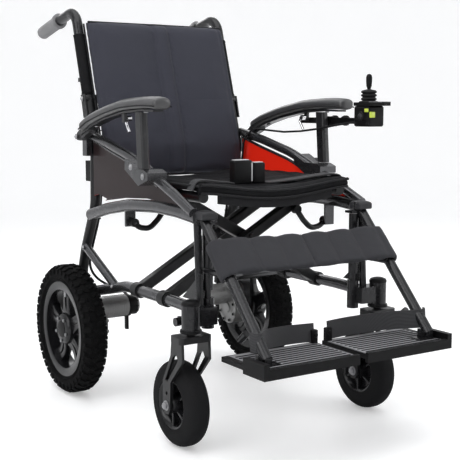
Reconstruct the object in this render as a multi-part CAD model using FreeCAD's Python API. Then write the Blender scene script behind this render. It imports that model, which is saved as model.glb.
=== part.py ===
import FreeCAD, Part
import math
import os

# Folding power wheelchair. Millimetres, +Z up, the user faces -Y, the user's left is +X.
# Geometry is drawn with Y = 0 on the rear axle line and moved by AXLE_Y when it is written,
# so that the finished part stands centred on its own origin.

# ---------------------------------------------------------------- driving dimensions
AXLE_Y = 242.0              # rear axle line behind the part's origin
FRAME_X = 215.0             # side frame rails, from the centre plane
CANE_X = 204.0              # rear uprights and back canes
ARM_X = 243.0               # arm pads and posts
FRAME_TUBE = 25.0           # side frame tube diameter
LIGHT_TUBE = 22.0           # arm rail, hanger and strut tube diameter

TYRE_OD = 313.0
TYRE_WIDTH = 56.0
RIM_SEAT_R = 110.0          # where the tyre sits on the rim
RIM_OPEN_R = 95.0           # inner edge of the rim ring
RIM_WIDTH = 44.0
HUB_R = 38.0
HUB_LENGTH = 50.0
WHEEL_X = 269.0
SPOKES = 5
SPOKE_WIDTH = 34.0
SPOKE_DEPTH = 16.0
AXLE_D = 20.0
RUNNING = 0.05              # radial clearance of shafts and pins in their bores
SKIN_GAP = 0.4              # clearance between curved faces of different pieces

CASTER_OD = 178.0
CASTER_WIDTH = 48.0
CASTER_RIM_R = 52.0
CASTER_HUB_R = 20.0
CASTER_AXLE_D = 10.0
STEM_X = 246.0
STEM_Y = -535.0
STEM_D = 18.0
CASTER_TRAIL = 42.0
HOUSING_D = 38.0
HOUSING_Z = (243.0, 300.0)
CROWN_Z = (226.0, 239.0)
CROWN_LENGTH = 74.0
CROWN_DEPTH = 46.0
FORK_LEG = 6.0
FORK_GAP = 4.0              # between a fork leg and the tyre

PIVOT_Z = 284.0             # lower pivots of the cross tubes
CENTRE_Z = 405.0            # pivot where the cross tubes meet, chair open
CROSS_TUBE = 24.0           # square cross tube side
CROSS_PITCH = 30.0          # from a tube A to the tube B beside it
CROSS_A_Y = (-256.0, -378.0)
SEAT_RAIL_REACH = 206.0     # along a cross tube from the centre pivot to the seat rail
SEAT_RAIL_Y = (-478.0, -62.0)
PIN_D = 8.0

CANE_LOW = (-20.0, 600.0)
CANE_BEND = (82.0, 930.0)
HANDLE_END = (292.0, 885.0)
BACK_PIVOT_Z = 712.0
HANDLE_BEND_R = 42.0
GRIP_D = 33.0
GRIP_LENGTH = 118.0
GRIP_COLLAR_D = 39.0
GRIP_COLLAR = 9.0

ARM_PIVOT = (-22.0, 622.0)
PAD_WIDTH = 42.0
PAD_THICKNESS = 25.0
PAD_LINE = ((-54.0, 646.0), (-112.0, 666.0), (-178.0, 681.0), (-268.0, 695.0), (-350.0, 699.0), (-420.0, 697.0))
ARM_BAR = 4.0
POST_Y = (-328.0, -337.0)
POST_SIZE = (18.0, 30.0)
POST_FOOT_Z = 561.0

HANGER_X = 205.0
HANGER_TOP = (-516.0, 468.0)
HANGER_FOOT = (-741.0, 226.0)
HANGER_PIVOT = (192.0, -512.0)
HANGER_TUBE_Z = (322.0, 456.0)
SOCKET_D = 26.0
FOOT_HINGE_X = 184.0
FOOT_HINGE_Z = 209.0
FOOT_PIN_D = 6.0
PLATE_Y = (-776.0, -632.0)
PLATE_X = (10.0, 236.0)
PLATE_THICKNESS = 10.0
LIP_DROP = 7.0              # how far the rim hangs below the plate
LUG_Y = (-746.0, -714.0)
LUG_R = 6.5

MOTOR_AXIS = (4.0, 196.0)   # y, z
MOTOR_D = 54.0
MOTOR_CAP_D = 49.0
MOTOR_X = (86.0, 118.0, 190.0)
GEARBOX_D = 84.0
GEARBOX_X = (190.0, 226.0)
AXLE_PLATE_X = (226.0, 232.0)

CONTROLLER_Y = (-530.0, -478.0)
CONTROLLER_Z = (648.0, 694.0)
CONTROLLER_WIDTH = 46.0
CONTROLLER_TOP = 8.0
RAIL_X = 262.0
RAIL_SIZE = 14.0
RAIL_Z = 660.0
STICK_Y = -503.0
STICK_PIVOT_Z = 690.0
STICK_TOP_Z = 765.0
LEAD_D = 5.0

SIDES = (("right", -1.0), ("left", 1.0))

# ---------------------------------------------------------------- worked out from them
WHEEL_Z = TYRE_OD / 2
CASTER_Z = CASTER_OD / 2
CASTER_Y = STEM_Y + CASTER_TRAIL
CROSS_RISE = CENTRE_Z - PIVOT_Z
CROSS_ANGLE = math.atan2(CROSS_RISE, FRAME_X)
CROSS_LOWER = math.hypot(CROSS_RISE, FRAME_X)
SEAT_RAIL_X = SEAT_RAIL_REACH * math.cos(CROSS_ANGLE)
SEAT_RAIL_Z = CENTRE_Z + SEAT_RAIL_REACH * math.sin(CROSS_ANGLE)
CANE_LEAN = (CANE_BEND[0] - CANE_LOW[0]) / (CANE_BEND[1] - CANE_LOW[1])


def vector(x, y, z):
    return FreeCAD.Vector(x, y, z)


def cane_y(z):
    """Y of the cane's centre line at height z, above its lower bend."""
    return CANE_LOW[0] + CANE_LEAN * (z - CANE_LOW[1])


BACK_PIVOT = (cane_y(BACK_PIVOT_Z), BACK_PIVOT_Z)
LATCH_BEHIND = 22.0         # lever's centre line behind the cane's
LATCH_Z = 758.0
LATCH_TOP_Z = 796.0
LATCH_FOOT_Z = 738.0
CANE_LATCH = (cane_y(LATCH_Z) + LATCH_BEHIND, LATCH_Z)
LATCH_HALF = 5.0
LATCH_PIN_D = 4.0


# ---------------------------------------------------------------- shape helpers
def side_points(x, pairs):
    return [vector(x, y, z) for y, z in pairs]


def bent_wire(points, bend):
    """Straight runs joined by tangent arcs, no arc larger than its two runs allow."""
    edges = []
    start = points[0]
    for before, corner, after in zip(points, points[1:], points[2:]):
        into = (corner - before).normalize()
        out = (after - corner).normalize()
        half_turn = into.getAngle(out) / 2
        shorter = min((corner - before).Length, (after - corner).Length)
        cut = min(bend * math.tan(half_turn), 0.45 * shorter)
        arc_start = corner - into * cut
        arc_end = corner + out * cut
        inward = (out - into).normalize()
        radius = cut / math.tan(half_turn)
        middle = corner + inward * (radius / math.cos(half_turn) - radius)
        edges.append(Part.LineSegment(start, arc_start).toShape())
        edges.append(Part.Arc(arc_start, middle, arc_end).toShape())
        start = arc_end
    edges.append(Part.LineSegment(start, points[-1]).toShape())
    return Part.Wire(edges)


def tube(points, diameter, bend=60.0):
    """A round bar or tube along bent_wire."""
    path = bent_wire(points, bend)
    along = points[1] - points[0]
    profile = Part.Wire([Part.makeCircle(diameter / 2, points[0], along)])
    return path.makePipeShell([profile], True, False)


def oval_tube(points, width, height, bend=60.0):
    """A tube of oval section whose path lies in a plane of constant X."""
    along = (points[1] - points[0]).normalize()
    across = vector(1, 0, 0)
    upward = along.cross(across)
    if upward.z < 0:
        upward = upward * -1
    tall = Part.Ellipse(points[0] + upward * (height / 2), points[0] + across * (width / 2), points[0])
    profile = Part.Wire([tall.toShape()])
    return bent_wire(points, bend).makePipeShell([profile], True, False)


def rod(start, end, diameter):
    along = end - start
    return Part.makeCylinder(diameter / 2, along.Length, start, along)


def ring(start, end, outer, inner):
    return rod(start, end, outer).cut(rod(start, end, inner))


def block(x, y, z):
    """A box from three (low, high) pairs in any order."""
    low = vector(min(x), min(y), min(z))
    return Part.makeBox(max(x) - low.x, max(y) - low.y, max(z) - low.z, low)


def rounded_block(x, y, z, fillet):
    body = block(x, y, z)
    return body.makeFillet(fillet, body.Edges)


def outline_plate(pairs, x):
    """A flat plate: outline given as (y, z), thickness between the two X values."""
    corners = side_points(min(x), pairs)
    face = Part.Face(Part.makePolygon(corners + corners[:1]))
    return face.extrude(vector(max(x) - min(x), 0, 0))


def turned(profile, centre, axis):
    """Revolve (along, radius) points about an axis through centre."""
    side = axis.cross(vector(0, 1, 0)).normalize()
    corners = [centre + axis * along + side * radius for along, radius in profile]
    face = Part.Face(Part.makePolygon(corners + corners[:1]))
    return face.revolve(centre, axis, 360)


def offset_pairs(pairs, dy, dz):
    return [(y + dy, z + dz) for y, z in pairs]


def largest(shape):
    return max(shape.Solids, key=lambda solid: solid.Volume)


def group(*solids):
    return Part.makeCompound(list(solids))


NODES = {}


# ---------------------------------------------------------------- fold link places
LINK_X = 198.0
LINK_Z = 430.0
LINK_D = 14.0
LINK_PIN_D = 6.0
LINK_EYE_D = 20.0
LINK_GAP = 3.0
LINK_BOW = ((0.0, 0.0), (14.0, -12.0), (40.0, -16.0), (62.0, 4.0), (82.0, 30.0))   # inward, up


def link_side(s):
    """Which way (+1 rearward) the right link's bracket stands from it; the left one is in front."""
    return 1 if s < 0 else -1


def link_y(s):
    """The right link lies behind the rear tube B, the left link in front of the front tube A."""
    tube_y = CROSS_A_Y[0] + CROSS_PITCH if s < 0 else CROSS_A_Y[1]
    return tube_y + link_side(s) * (CROSS_TUBE / 2 + LINK_GAP + LINK_D / 2)


# ---------------------------------------------------------------- side frame
UPRIGHT_LINE = (BACK_PIVOT, CANE_LOW, (-15.0, 455.0), (45.0, 340.0), (64.0, 286.0), (70.0, 214.0))
ARCH_LINE = ((-8.0, 432.0), (-105.0, 455.0), (-215.0, 472.0), (-340.0, 479.0), (-430.0, 477.0), (-511.0, 470.0))
LOWER_LINE = ((66.0, 227.0), (-200.0, PIVOT_Z), (-425.0, PIVOT_Z), (-519.0, 281.0))
ARM_LINE = ((-14.0, 628.0), (-120.0, 609.0), (-240.0, 581.0), (-350.0, 540.0), (-430.0, 510.0), (-505.0, 479.0))
STRUT_LINE = ((17.0, 350.0), (-147.0, 272.0))
FRONT_LINE = ((-509.0, 478.0), (-512.0, 420.0), (-521.0, 262.0))
FRONT_TUBE = 16.0
ARCH_WIDTH = 23.0
ARCH_HEIGHT = 28.0
TRIM_D = 7.0
TRIM_DROP = 18.0
KNUCKLE_R = FRAME_TUBE / 2 + 1.0
CHEEK = 3.0
PIN_PROUD = 1.0
FOLD_NOTCH = 16.0           # room behind the upright's top for the cane as it folds back


def upright_tube(s):
    return tube(side_points(s * CANE_X, UPRIGHT_LINE), FRAME_TUBE, 90.0)


def cane_pin_ends(s):
    outer = CANE_X + FRAME_TUBE / 2 + CHEEK + PIN_PROUD
    inner = CANE_X - FRAME_TUBE / 2 - CHEEK - PIN_PROUD
    return vector(s * inner, *BACK_PIVOT), vector(s * outer, *BACK_PIVOT)


def rear_upright(s):
    body = upright_tube(s)
    low, high = cane_pin_ends(s)
    y, z = BACK_PIVOT
    notch = block((s * (CANE_X - KNUCKLE_R), s * (CANE_X + KNUCKLE_R)), (y, y + FRAME_TUBE), (z - FOLD_NOTCH, z))
    body = largest(body.cut(rod(low, high, 2 * KNUCKLE_R)).cut(notch))
    cheeks = []
    for face in (-1, 1):
        inside = CANE_X + face * (FRAME_TUBE / 2 + 0.3)
        outside = inside + face * CHEEK
        low_y = cane_y(z - 46.0)
        outline = ((y - 11, z + 10), (y + 11, z + 10), (low_y + 11, z - 46), (low_y - 11, z - 46))
        cheek = outline_plate(outline, (s * inside, s * outside))
        cheeks.append(cheek.cut(rod(low, high, PIN_D + 2 * RUNNING)))
    return group(body, *cheeks)


def arch_tube(s):
    return oval_tube(side_points(s * FRAME_X, ARCH_LINE), ARCH_WIDTH, ARCH_HEIGHT, 500.0)


def front_tube(s):
    return tube(side_points(s * FRAME_X, FRONT_LINE), FRONT_TUBE, 200.0)


def lower_tube(s):
    return tube(side_points(s * FRAME_X, LOWER_LINE), FRAME_TUBE, 150.0)


def arm_tube(s):
    return tube(side_points(s * (FRAME_X + 5), ARM_LINE), LIGHT_TUBE, 350.0)


def trim_rod(s):
    line = offset_pairs(ARM_LINE[:4], 0, -TRIM_DROP)
    line = [(-34.0, line[0][1] + 3.6)] + line[1:]
    return tube(side_points(s * FRAME_X, line), TRIM_D, 350.0)


def arch_rail(s):
    """The seat-level rail and the bracket under it that the fold link hangs from."""
    rail = arch_tube(s).cut(upright_tube(s)).cut(front_tube(s))
    away = link_side(s)
    y = link_y(s)
    near = y + away * (LINK_D / 2 + 0.5)
    bracket = block((s * (LINK_X - 8), s * FRAME_X), (near, near + away * 6), (LINK_Z - 9, LINK_Z + 40))
    bracket = bracket.cut(arch_tube(s))
    bracket = min(bracket.Solids, key=lambda solid: solid.CenterOfMass.z)
    pin = rod(vector(s * LINK_X, near, LINK_Z), vector(s * LINK_X, y - away * (LINK_D / 2 + 1.5), LINK_Z), LINK_PIN_D)
    return group(rail, bracket.fuse(pin))


def axle_plate(s):
    outline = ((-52, 246), (-52, 190), (-34, 116), (34, 116), (58, 170), (58, 236), (20, 240))
    plate = outline_plate(outline, (s * AXLE_PLATE_X[0], s * AXLE_PLATE_X[1]))
    hole = rod(vector(s * 200, 0, WHEEL_Z), vector(s * 260, 0, WHEEL_Z), AXLE_D + 4)
    return plate.cut(hole).cut(lower_tube(s))


def lower_rail(s):
    rail = lower_tube(s).cut(upright_tube(s)).cut(front_tube(s))
    rail = rail.cut(housing_barrel(s)).cut(hanger_socket(s))
    strut = tube(side_points(s * FRAME_X, STRUT_LINE), LIGHT_TUBE - 1)
    strut = strut.cut(upright_tube(s)).cut(lower_tube(s))
    return group(rail, strut, axle_plate(s))


def arm_socket(s):
    """The block on the arm rail that the arm post stands on."""
    outline = ((-372, 538), (-372, 553), (-352, 560), (-312, 560), (-268, 579), (-268, 556), (-330, 524))
    low_x = FRAME_X + 5 - 14
    body = outline_plate(outline, (s * low_x, s * (ARM_X + 10)))
    return body.cut(arm_tube(s))


def arm_rail(s):
    rail = arm_tube(s).cut(upright_tube(s)).cut(front_tube(s)).cut(arch_tube(s))
    trim = trim_rod(s).cut(upright_tube(s)).cut(arm_tube(s)).cut(arm_socket(s))
    y, z = ARM_PIVOT
    inner = CANE_X + FRAME_TUBE / 2 + 1.5
    outer = ARM_X - 8.0
    outline = ((y - 14, z - 46), (y - 14, z - 2), (y - 9, z + 5), (y - 4, z + 8), (y + 4, z + 8), (y + 8, z + 5),
               (y + 9, z - 46))
    bracket = outline_plate(outline, (s * (inner + 3), s * outer))
    pin = rod(vector(s * (inner + 3), y, z), vector(s * (ARM_X + 12), y, z), PIN_D)
    bracket = largest(bracket.fuse(pin).cut(arm_tube(s)).cut(trim))
    return group(rail, trim, arm_socket(s), bracket)


def side_guard(s):
    outline = ((-34, 456), (-100, 474), (-200, 487), (-300, 493), (-400, 492), (-462, 489),
               (-436, 500), (-350, 530), (-300, 550), (-240, 570), (-120, 598), (-34, 613))
    panel = outline_plate(outline, (s * (FRAME_X - 1.5), s * (FRAME_X + 1.5)))
    for near in (arch_tube(s), arm_tube(s), trim_rod(s), arm_socket(s), upright_tube(s), arm_rail(s)):
        panel = panel.cut(near)
    notch = outline_plate(((-20, 440), (-20, 478), (-60, 486), (-104, 478), (-60, 452)), (s * 200, s * 230))
    panel = panel.cut(notch)
    return largest(panel)


def caster_housing(s):
    top = HOUSING_Z[1]
    foot = HOUSING_Z[0]
    stem = rod(vector(s * STEM_X, STEM_Y, foot - 1), vector(s * STEM_X, STEM_Y, top - 6), STEM_D + 2 * RUNNING)
    barrel = rod(vector(s * STEM_X, STEM_Y, foot), vector(s * STEM_X, STEM_Y, top), HOUSING_D)
    return barrel.cut(stem)


def hanger_socket(s):
    x, y = HANGER_PIVOT
    low = vector(s * x, y, HOUSING_Z[0])
    high = vector(s * x, y, HOUSING_Z[1] + 6)
    return rod(low, high, SOCKET_D)


def front_upright(s):
    post = front_tube(s).cut(housing_barrel(s)).cut(hanger_socket(s))
    bridge = block((s * 190, s * 250), (-546, -508), (256, 292))
    bridge = bridge.cut(housing_barrel(s)).cut(hanger_socket(s)).cut(front_tube(s))
    bridge = bridge.cut(lower_tube(s))
    bridge = largest(bridge)
    gusset = outline_plate(((-516, 352), (-519, 300), (-452, 300)), (s * (FRAME_X - 2), s * (FRAME_X + 2)))
    gusset = gusset.cut(front_tube(s)).cut(lower_tube(s))
    lug = block((s * 236, s * 242), (STEM_Y + 15, -474), (250, 266)).cut(housing_barrel(s)).cut(bridge)
    stop = rod(vector(s * 242, -482, 256), vector(s * 252, -482, 256), 18)
    cap = rod(vector(s * STEM_X, STEM_Y, HOUSING_Z[1]), vector(s * STEM_X, STEM_Y, HOUSING_Z[1] + 4), 30)
    top_lug = block((s * 176, s * FRAME_X), (-524, -500), (458, 463))
    top_lug = top_lug.cut(front_tube(s)).cut(arch_tube(s)).cut(arm_tube(s)).cut(hanger_knob(s))
    top_lug = largest(top_lug)
    return group(post, bridge, gusset, caster_housing(s), hanger_socket(s), lug, stop, cap, top_lug)


def housing_barrel(s):
    return rod(vector(s * STEM_X, STEM_Y, HOUSING_Z[0]), vector(s * STEM_X, STEM_Y, HOUSING_Z[1]), HOUSING_D)


# ---------------------------------------------------------------- back
def handle_point(distance):
    """A point on the handle's centre line, measured back from its end, as (y, z)."""
    dy = HANDLE_END[0] - CANE_BEND[0]
    dz = HANDLE_END[1] - CANE_BEND[1]
    length = math.hypot(dy, dz)
    return HANDLE_END[0] - dy / length * distance, HANDLE_END[1] - dz / length * distance


def cane_tube(s):
    end = handle_point(5.0)
    return tube(side_points(s * CANE_X, (BACK_PIVOT, CANE_BEND, end)), FRAME_TUBE, HANDLE_BEND_R)


def back_cane(s):
    low, high = cane_pin_ends(s)
    knuckle = rod(vector(s * CANE_X - 12.4, *BACK_PIVOT), vector(s * CANE_X + 12.4, *BACK_PIVOT), FRAME_TUBE)
    cane = cane_tube(s).fuse([knuckle, rod(low, high, PIN_D)])
    y, z = CANE_LATCH
    x = s * CANE_X
    cheeks = []
    for face in (-1, 1):
        inside = x + face * (LATCH_HALF + 0.5)
        cheeks.append(block((inside, inside + face * 3), (y - 16, y + 4), (z - 5, z + 5)))
    half = vector(LATCH_HALF + 3.5, 0, 0)
    pin = rod(vector(x, y, z) - half, vector(x, y, z) + half, LATCH_PIN_D)
    return cane.fuse(cheeks + [pin]).removeSplitter()


def push_grip(s):
    y0, z0 = handle_point(GRIP_LENGTH)
    y1, z1 = handle_point(0.0)
    start = vector(s * CANE_X, y0, z0)
    along = (vector(s * CANE_X, y1, z1) - start).normalize()
    grip_r = GRIP_D / 2
    end = GRIP_LENGTH
    profile = ((0, 0), (0, GRIP_COLLAR_D / 2), (GRIP_COLLAR, GRIP_COLLAR_D / 2), (GRIP_COLLAR, grip_r),
               (end - 6, grip_r), (end, grip_r - 6), (end, 0))
    body = turned(profile, start, along)
    return body.cut(cane_tube(s))


def cane_latch(s):
    """The lever behind each cane that frees the folding back."""
    y, z = CANE_LATCH
    x = s * CANE_X
    top = (cane_y(LATCH_TOP_Z) + LATCH_BEHIND, LATCH_TOP_Z)
    foot = (cane_y(LATCH_FOOT_Z) + LATCH_BEHIND + 2, LATCH_FOOT_Z)
    lever = tube(side_points(x, (top, (y + 1, z), foot)), 8.0, 60.0)
    half = vector(LATCH_HALF, 0, 0)
    lever = lever.fuse(rod(vector(x, y, z) - half, vector(x, y, z) + half, 11.0))
    return lever.cut(rod(vector(x, y, z) - half * 2, vector(x, y, z) + half * 2, LATCH_PIN_D + 2 * RUNNING))


# ---------------------------------------------------------------- arms
def arm_bar(s):
    """A flat steel bar that carries the pad, following the pad's underside."""
    below = PAD_THICKNESS / 2 + ARM_BAR / 2 + 0.05
    line = offset_pairs(PAD_LINE, 0, -below)
    line = [(-44.0, line[0][1] - 3.4)] + line[1:5] + [(-404.0, line[5][1] + 0.4)]
    top = [(y, z + ARM_BAR / 2) for y, z in line]
    bottom = [(y, z - ARM_BAR / 2) for y, z in reversed(line)]
    bar = outline_plate(top + bottom, (s * (ARM_X - 12), s * (ARM_X + 12)))
    return largest(bar.cut(arm_pad(s)))


def arm_frame(s):
    bar = arm_bar(s)
    y, z = ARM_PIVOT
    gap = 0.5
    inner = ARM_X - 8.0 + gap
    lug_outline = ((y - 62, z + 24), (y - 62, z + 11), (y - 12, z - 9), (y + 4, z - 8), (y + 9, z), (y + 4, z + 9),
                   (y - 12, z + 18))
    lug = outline_plate(lug_outline, (s * inner, s * (ARM_X + 8)))
    bore = rod(vector(s * inner, y, z), vector(s * (ARM_X + 14), y, z), PIN_D + 2 * RUNNING)
    lug = largest(lug.cut(bore).cut(bar).cut(arm_pad(s)))
    width, depth = POST_SIZE
    top_z = 680.0
    post_outline = ((POST_Y[0] - depth / 2, top_z), (POST_Y[1] - depth / 2, POST_FOOT_Z),
                    (POST_Y[1] + depth / 2, POST_FOOT_Z), (POST_Y[0] + depth / 2, top_z))
    post = outline_plate(post_outline, (s * (ARM_X - width / 2), s * (ARM_X + width / 2)))
    upright_edges = [edge for edge in post.Edges if abs(edge.Vertexes[0].Z - edge.Vertexes[1].Z) > 50]
    post = post.makeFillet(6.0, upright_edges).cut(bar).cut(arm_pad(s))
    post = largest(post)
    latch_pin = rod(vector(s * (ARM_X - 14), *LATCH_PIVOT), vector(s * (ARM_X + 9), *LATCH_PIVOT), 5.0)
    latch_lug = block((s * (ARM_X + 3), s * (ARM_X + 9)), (LATCH_PIVOT[0] - 6, LATCH_PIVOT[0] + 6), (658, 679))
    latch_lug = latch_lug.cut(bar)
    latch_lug = min(latch_lug.Solids, key=lambda solid: solid.CenterOfMass.z)
    return group(bar, lug, post, latch_lug.fuse(latch_pin))


LATCH_PIVOT = (-262.0, 667.0)


def arm_latch(s):
    y, z = LATCH_PIVOT
    x = s * (ARM_X - 5)
    hub = rod(vector(x - 5, y, z), vector(x + 5, y, z), 12.0)
    lever = tube(side_points(x, ((y, z), (y + 16, z - 6), (y - 2, z - 30))), 6.0, 8.0)
    pin = rod(vector(s * (ARM_X - 16), y, z), vector(s * (ARM_X + 16), y, z), 5.0 + 2 * RUNNING)
    return hub.fuse(lever).cut(pin)


def arm_pad(s):
    half = PAD_THICKNESS / 2
    top = [(y, z + half) for y, z in PAD_LINE]
    bottom = [(y, z - half) for y, z in reversed(PAD_LINE)]
    pad = outline_plate(top + bottom, (s * (ARM_X - PAD_WIDTH / 2), s * (ARM_X + PAD_WIDTH / 2)))
    return pad


# ---------------------------------------------------------------- leg rests
def hanger_knob(s):
    knob = rod(vector(s * 196, -523, 464), vector(s * 196, -523, 484), 25)
    return knob.makeFillet(5.0, knob.Edges)


def hanger_tube(s):
    return tube(side_points(s * HANGER_X, (HANGER_TOP, HANGER_FOOT)), LIGHT_TUBE)


def hanger(s):
    x, y = HANGER_PIVOT
    low, high = HANGER_TUBE_Z
    pivot = rod(vector(s * x, y, low), vector(s * x, y, high), LIGHT_TUBE)
    spigot = rod(vector(s * x, y, HOUSING_Z[1] + 6), vector(s * x, y, low), 14.0)
    frame = front_upright(s)
    rails = (front_tube(s), arch_tube(s), arm_tube(s), frame)
    knob = hanger_knob(s)
    for rail in rails:
        knob = knob.cut(rail)
    knob = largest(knob)
    incline = hanger_tube(s).cut(pivot).cut(knob)
    for rail in rails:
        incline = incline.cut(rail)
    incline = largest(incline)
    brace = tube(side_points(s * 199, ((-512, 362), (-620, 362))), 13.0)
    brace = brace.cut(pivot).cut(hanger_tube(s)).cut(front_tube(s))
    brace = largest(brace)
    foot = block((s * FOOT_HINGE_X, s * 214), (LUG_Y[0] + 1, LUG_Y[1] - 1), (203.0, 215.0))
    eye = rod(vector(s * FOOT_HINGE_X, LUG_Y[0] + 1, FOOT_HINGE_Z), vector(s * FOOT_HINGE_X, LUG_Y[1] - 1, FOOT_HINGE_Z),
              2 * LUG_R - 1)
    neck = block((s * 197, s * 213), (LUG_Y[0] + 1, LUG_Y[1] - 1), (214.0, 232.0))
    pin = rod(vector(s * FOOT_HINGE_X, -764, FOOT_HINGE_Z), vector(s * FOOT_HINGE_X, -660, FOOT_HINGE_Z), FOOT_PIN_D)
    lug = foot.fuse(eye).fuse(neck).fuse(pin).removeSplitter().cut(hanger_tube(s))
    lug = largest(lug)
    height_knob = rod(vector(s * HANGER_X, -672, 263), vector(s * HANGER_X, -650, 245), 14).cut(hanger_tube(s))
    height_knob = largest(height_knob)
    return group(pivot, spigot, knob, incline, brace, lug, height_knob)


def footplate(s):
    inner, outer = PLATE_X
    front, rear = PLATE_Y
    top = FOOT_HINGE_Z + PLATE_THICKNESS / 2
    bottom = FOOT_HINGE_Z - PLATE_THICKNESS / 2
    plate = block((s * inner, s * outer), (front, rear), (bottom, top))
    lip = block((s * inner, s * outer), (front, front + 8), (bottom - LIP_DROP, top + 3))
    flange = block((s * (outer - 12), s * outer), (front, front + 70), (bottom - LIP_DROP, top + 14))
    plate = plate.fuse(lip).fuse(flange).removeSplitter()
    notch = block((s * (FOOT_HINGE_X - LUG_R), s * 216), LUG_Y, (bottom - 1, top + 20))
    bore = rod(vector(s * FOOT_HINGE_X, -765, FOOT_HINGE_Z), vector(s * FOOT_HINGE_X, -659, FOOT_HINGE_Z),
               FOOT_PIN_D + 2 * RUNNING)
    return plate.cut(notch).cut(bore)


def heel_strap(s):
    """A webbing band behind the heels, from beside the hanger to the plate's inner edge."""
    corners = ((s * 190, -664), (s * 120, -650), (s * (PLATE_X[0] + 5), -646))
    points = [vector(x, y, 217.0) for x, y in corners]
    back = [vector(x, y + 4.0, 217.0) for x, y in reversed(corners)]
    face = Part.Face(Part.makePolygon(points + back + points[:1]))
    return face.extrude(vector(0, 0, 44.0))


# ---------------------------------------------------------------- wheels
def tyre(s):
    half = TYRE_WIDTH / 2
    outer = TYRE_OD / 2
    profile = ((-half * 0.55, RIM_SEAT_R), (-half * 0.92, RIM_SEAT_R + 9), (-half, outer - 24),
               (-half * 0.9, outer - 9), (-half * 0.55, outer), (half * 0.55, outer), (half * 0.9, outer - 9),
               (half, outer - 24), (half * 0.92, RIM_SEAT_R + 9), (half * 0.55, RIM_SEAT_R))
    return turned(profile, vector(s * WHEEL_X, 0, WHEEL_Z), vector(1, 0, 0))


def wheel_rim(s):
    centre = vector(s * WHEEL_X, 0, WHEEL_Z)
    half = RIM_WIDTH / 2
    across = vector(1, 0, 0)
    flange_half = TYRE_WIDTH / 2 * 0.55
    ring_profile = ((-half, RIM_OPEN_R), (-half, RIM_SEAT_R - 1), (-flange_half, RIM_SEAT_R), (flange_half, RIM_SEAT_R),
                    (half, RIM_SEAT_R - 1), (half, RIM_OPEN_R))
    rim = turned(ring_profile, centre, across)
    hub = rod(centre - across * (HUB_LENGTH / 2), centre + across * (HUB_LENGTH / 2), 2 * HUB_R)
    spokes = []
    for index in range(SPOKES):
        spoke = block((s * WHEEL_X - SPOKE_DEPTH / 2, s * WHEEL_X + SPOKE_DEPTH / 2),
                      (-SPOKE_WIDTH / 2, SPOKE_WIDTH / 2), (WHEEL_Z + HUB_R - 4, WHEEL_Z + RIM_OPEN_R + 2))
        spoke.rotate(centre, across, 360.0 * index / SPOKES)
        spokes.append(spoke)
    axle = rod(vector(s * (GEARBOX_X[0] + 12), 0, WHEEL_Z), centre, AXLE_D)
    return hub.fuse(spokes).fuse(rim).fuse(axle).removeSplitter()


def gearbox(s):
    """The gearbox case and its bolts, as a list of solids."""
    low, high = GEARBOX_X
    case = rod(vector(s * low, 0, WHEEL_Z), vector(s * high, 0, WHEEL_Z), GEARBOX_D)
    boss = rod(vector(s * low, *MOTOR_AXIS), vector(s * high, *MOTOR_AXIS), MOTOR_D + 4)
    body = case.fuse(boss).removeSplitter()
    bore = rod(vector(s * (low + 11), 0, WHEEL_Z), vector(s * (high + 1), 0, WHEEL_Z), AXLE_D + 2 * RUNNING)
    body = body.cut(bore)
    bolts = []
    for index in range(8):
        angle = math.radians(45.0 * index + 22.5)
        y = (GEARBOX_D / 2 - 7) * math.cos(angle)
        z = WHEEL_Z + (GEARBOX_D / 2 - 7) * math.sin(angle)
        if math.hypot(y - MOTOR_AXIS[0], z - MOTOR_AXIS[1]) > MOTOR_D / 2 + 7:
            bolts.append(rod(vector(s * low, y, z), vector(s * (low - 3), y, z), 8.0))
    return [body] + bolts


def drive_unit(s):
    """The motor and the gearbox it is bolted to."""
    return group(*gearbox(s), *motor(s))


def motor(s):
    """The motor's can and its rounded end cap."""
    cap_end, joint, flange = MOTOR_X
    can = rod(vector(s * joint, *MOTOR_AXIS), vector(s * flange, *MOTOR_AXIS), MOTOR_D)
    cap = rod(vector(s * cap_end, *MOTOR_AXIS), vector(s * joint, *MOTOR_AXIS), MOTOR_CAP_D)
    cap = cap.makeFillet(7.0, [edge for edge in cap.Edges if abs(edge.CenterOfMass.x - s * cap_end) < 1])
    return [can, cap]


def clutch_lever(s):
    y, z = MOTOR_AXIS
    joint = MOTOR_X[1]
    clearance = 0.5
    near = joint - clearance
    far = near - 7.0
    band = ring(vector(s * far, y, z), vector(s * near, y, z), MOTOR_CAP_D + 8, MOTOR_CAP_D + 2 * RUNNING)
    handle = block((s * far, s * near), (y - 5, y + 5), (z - 62, z - MOTOR_CAP_D / 2 - 2))
    return band.fuse(handle)


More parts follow.
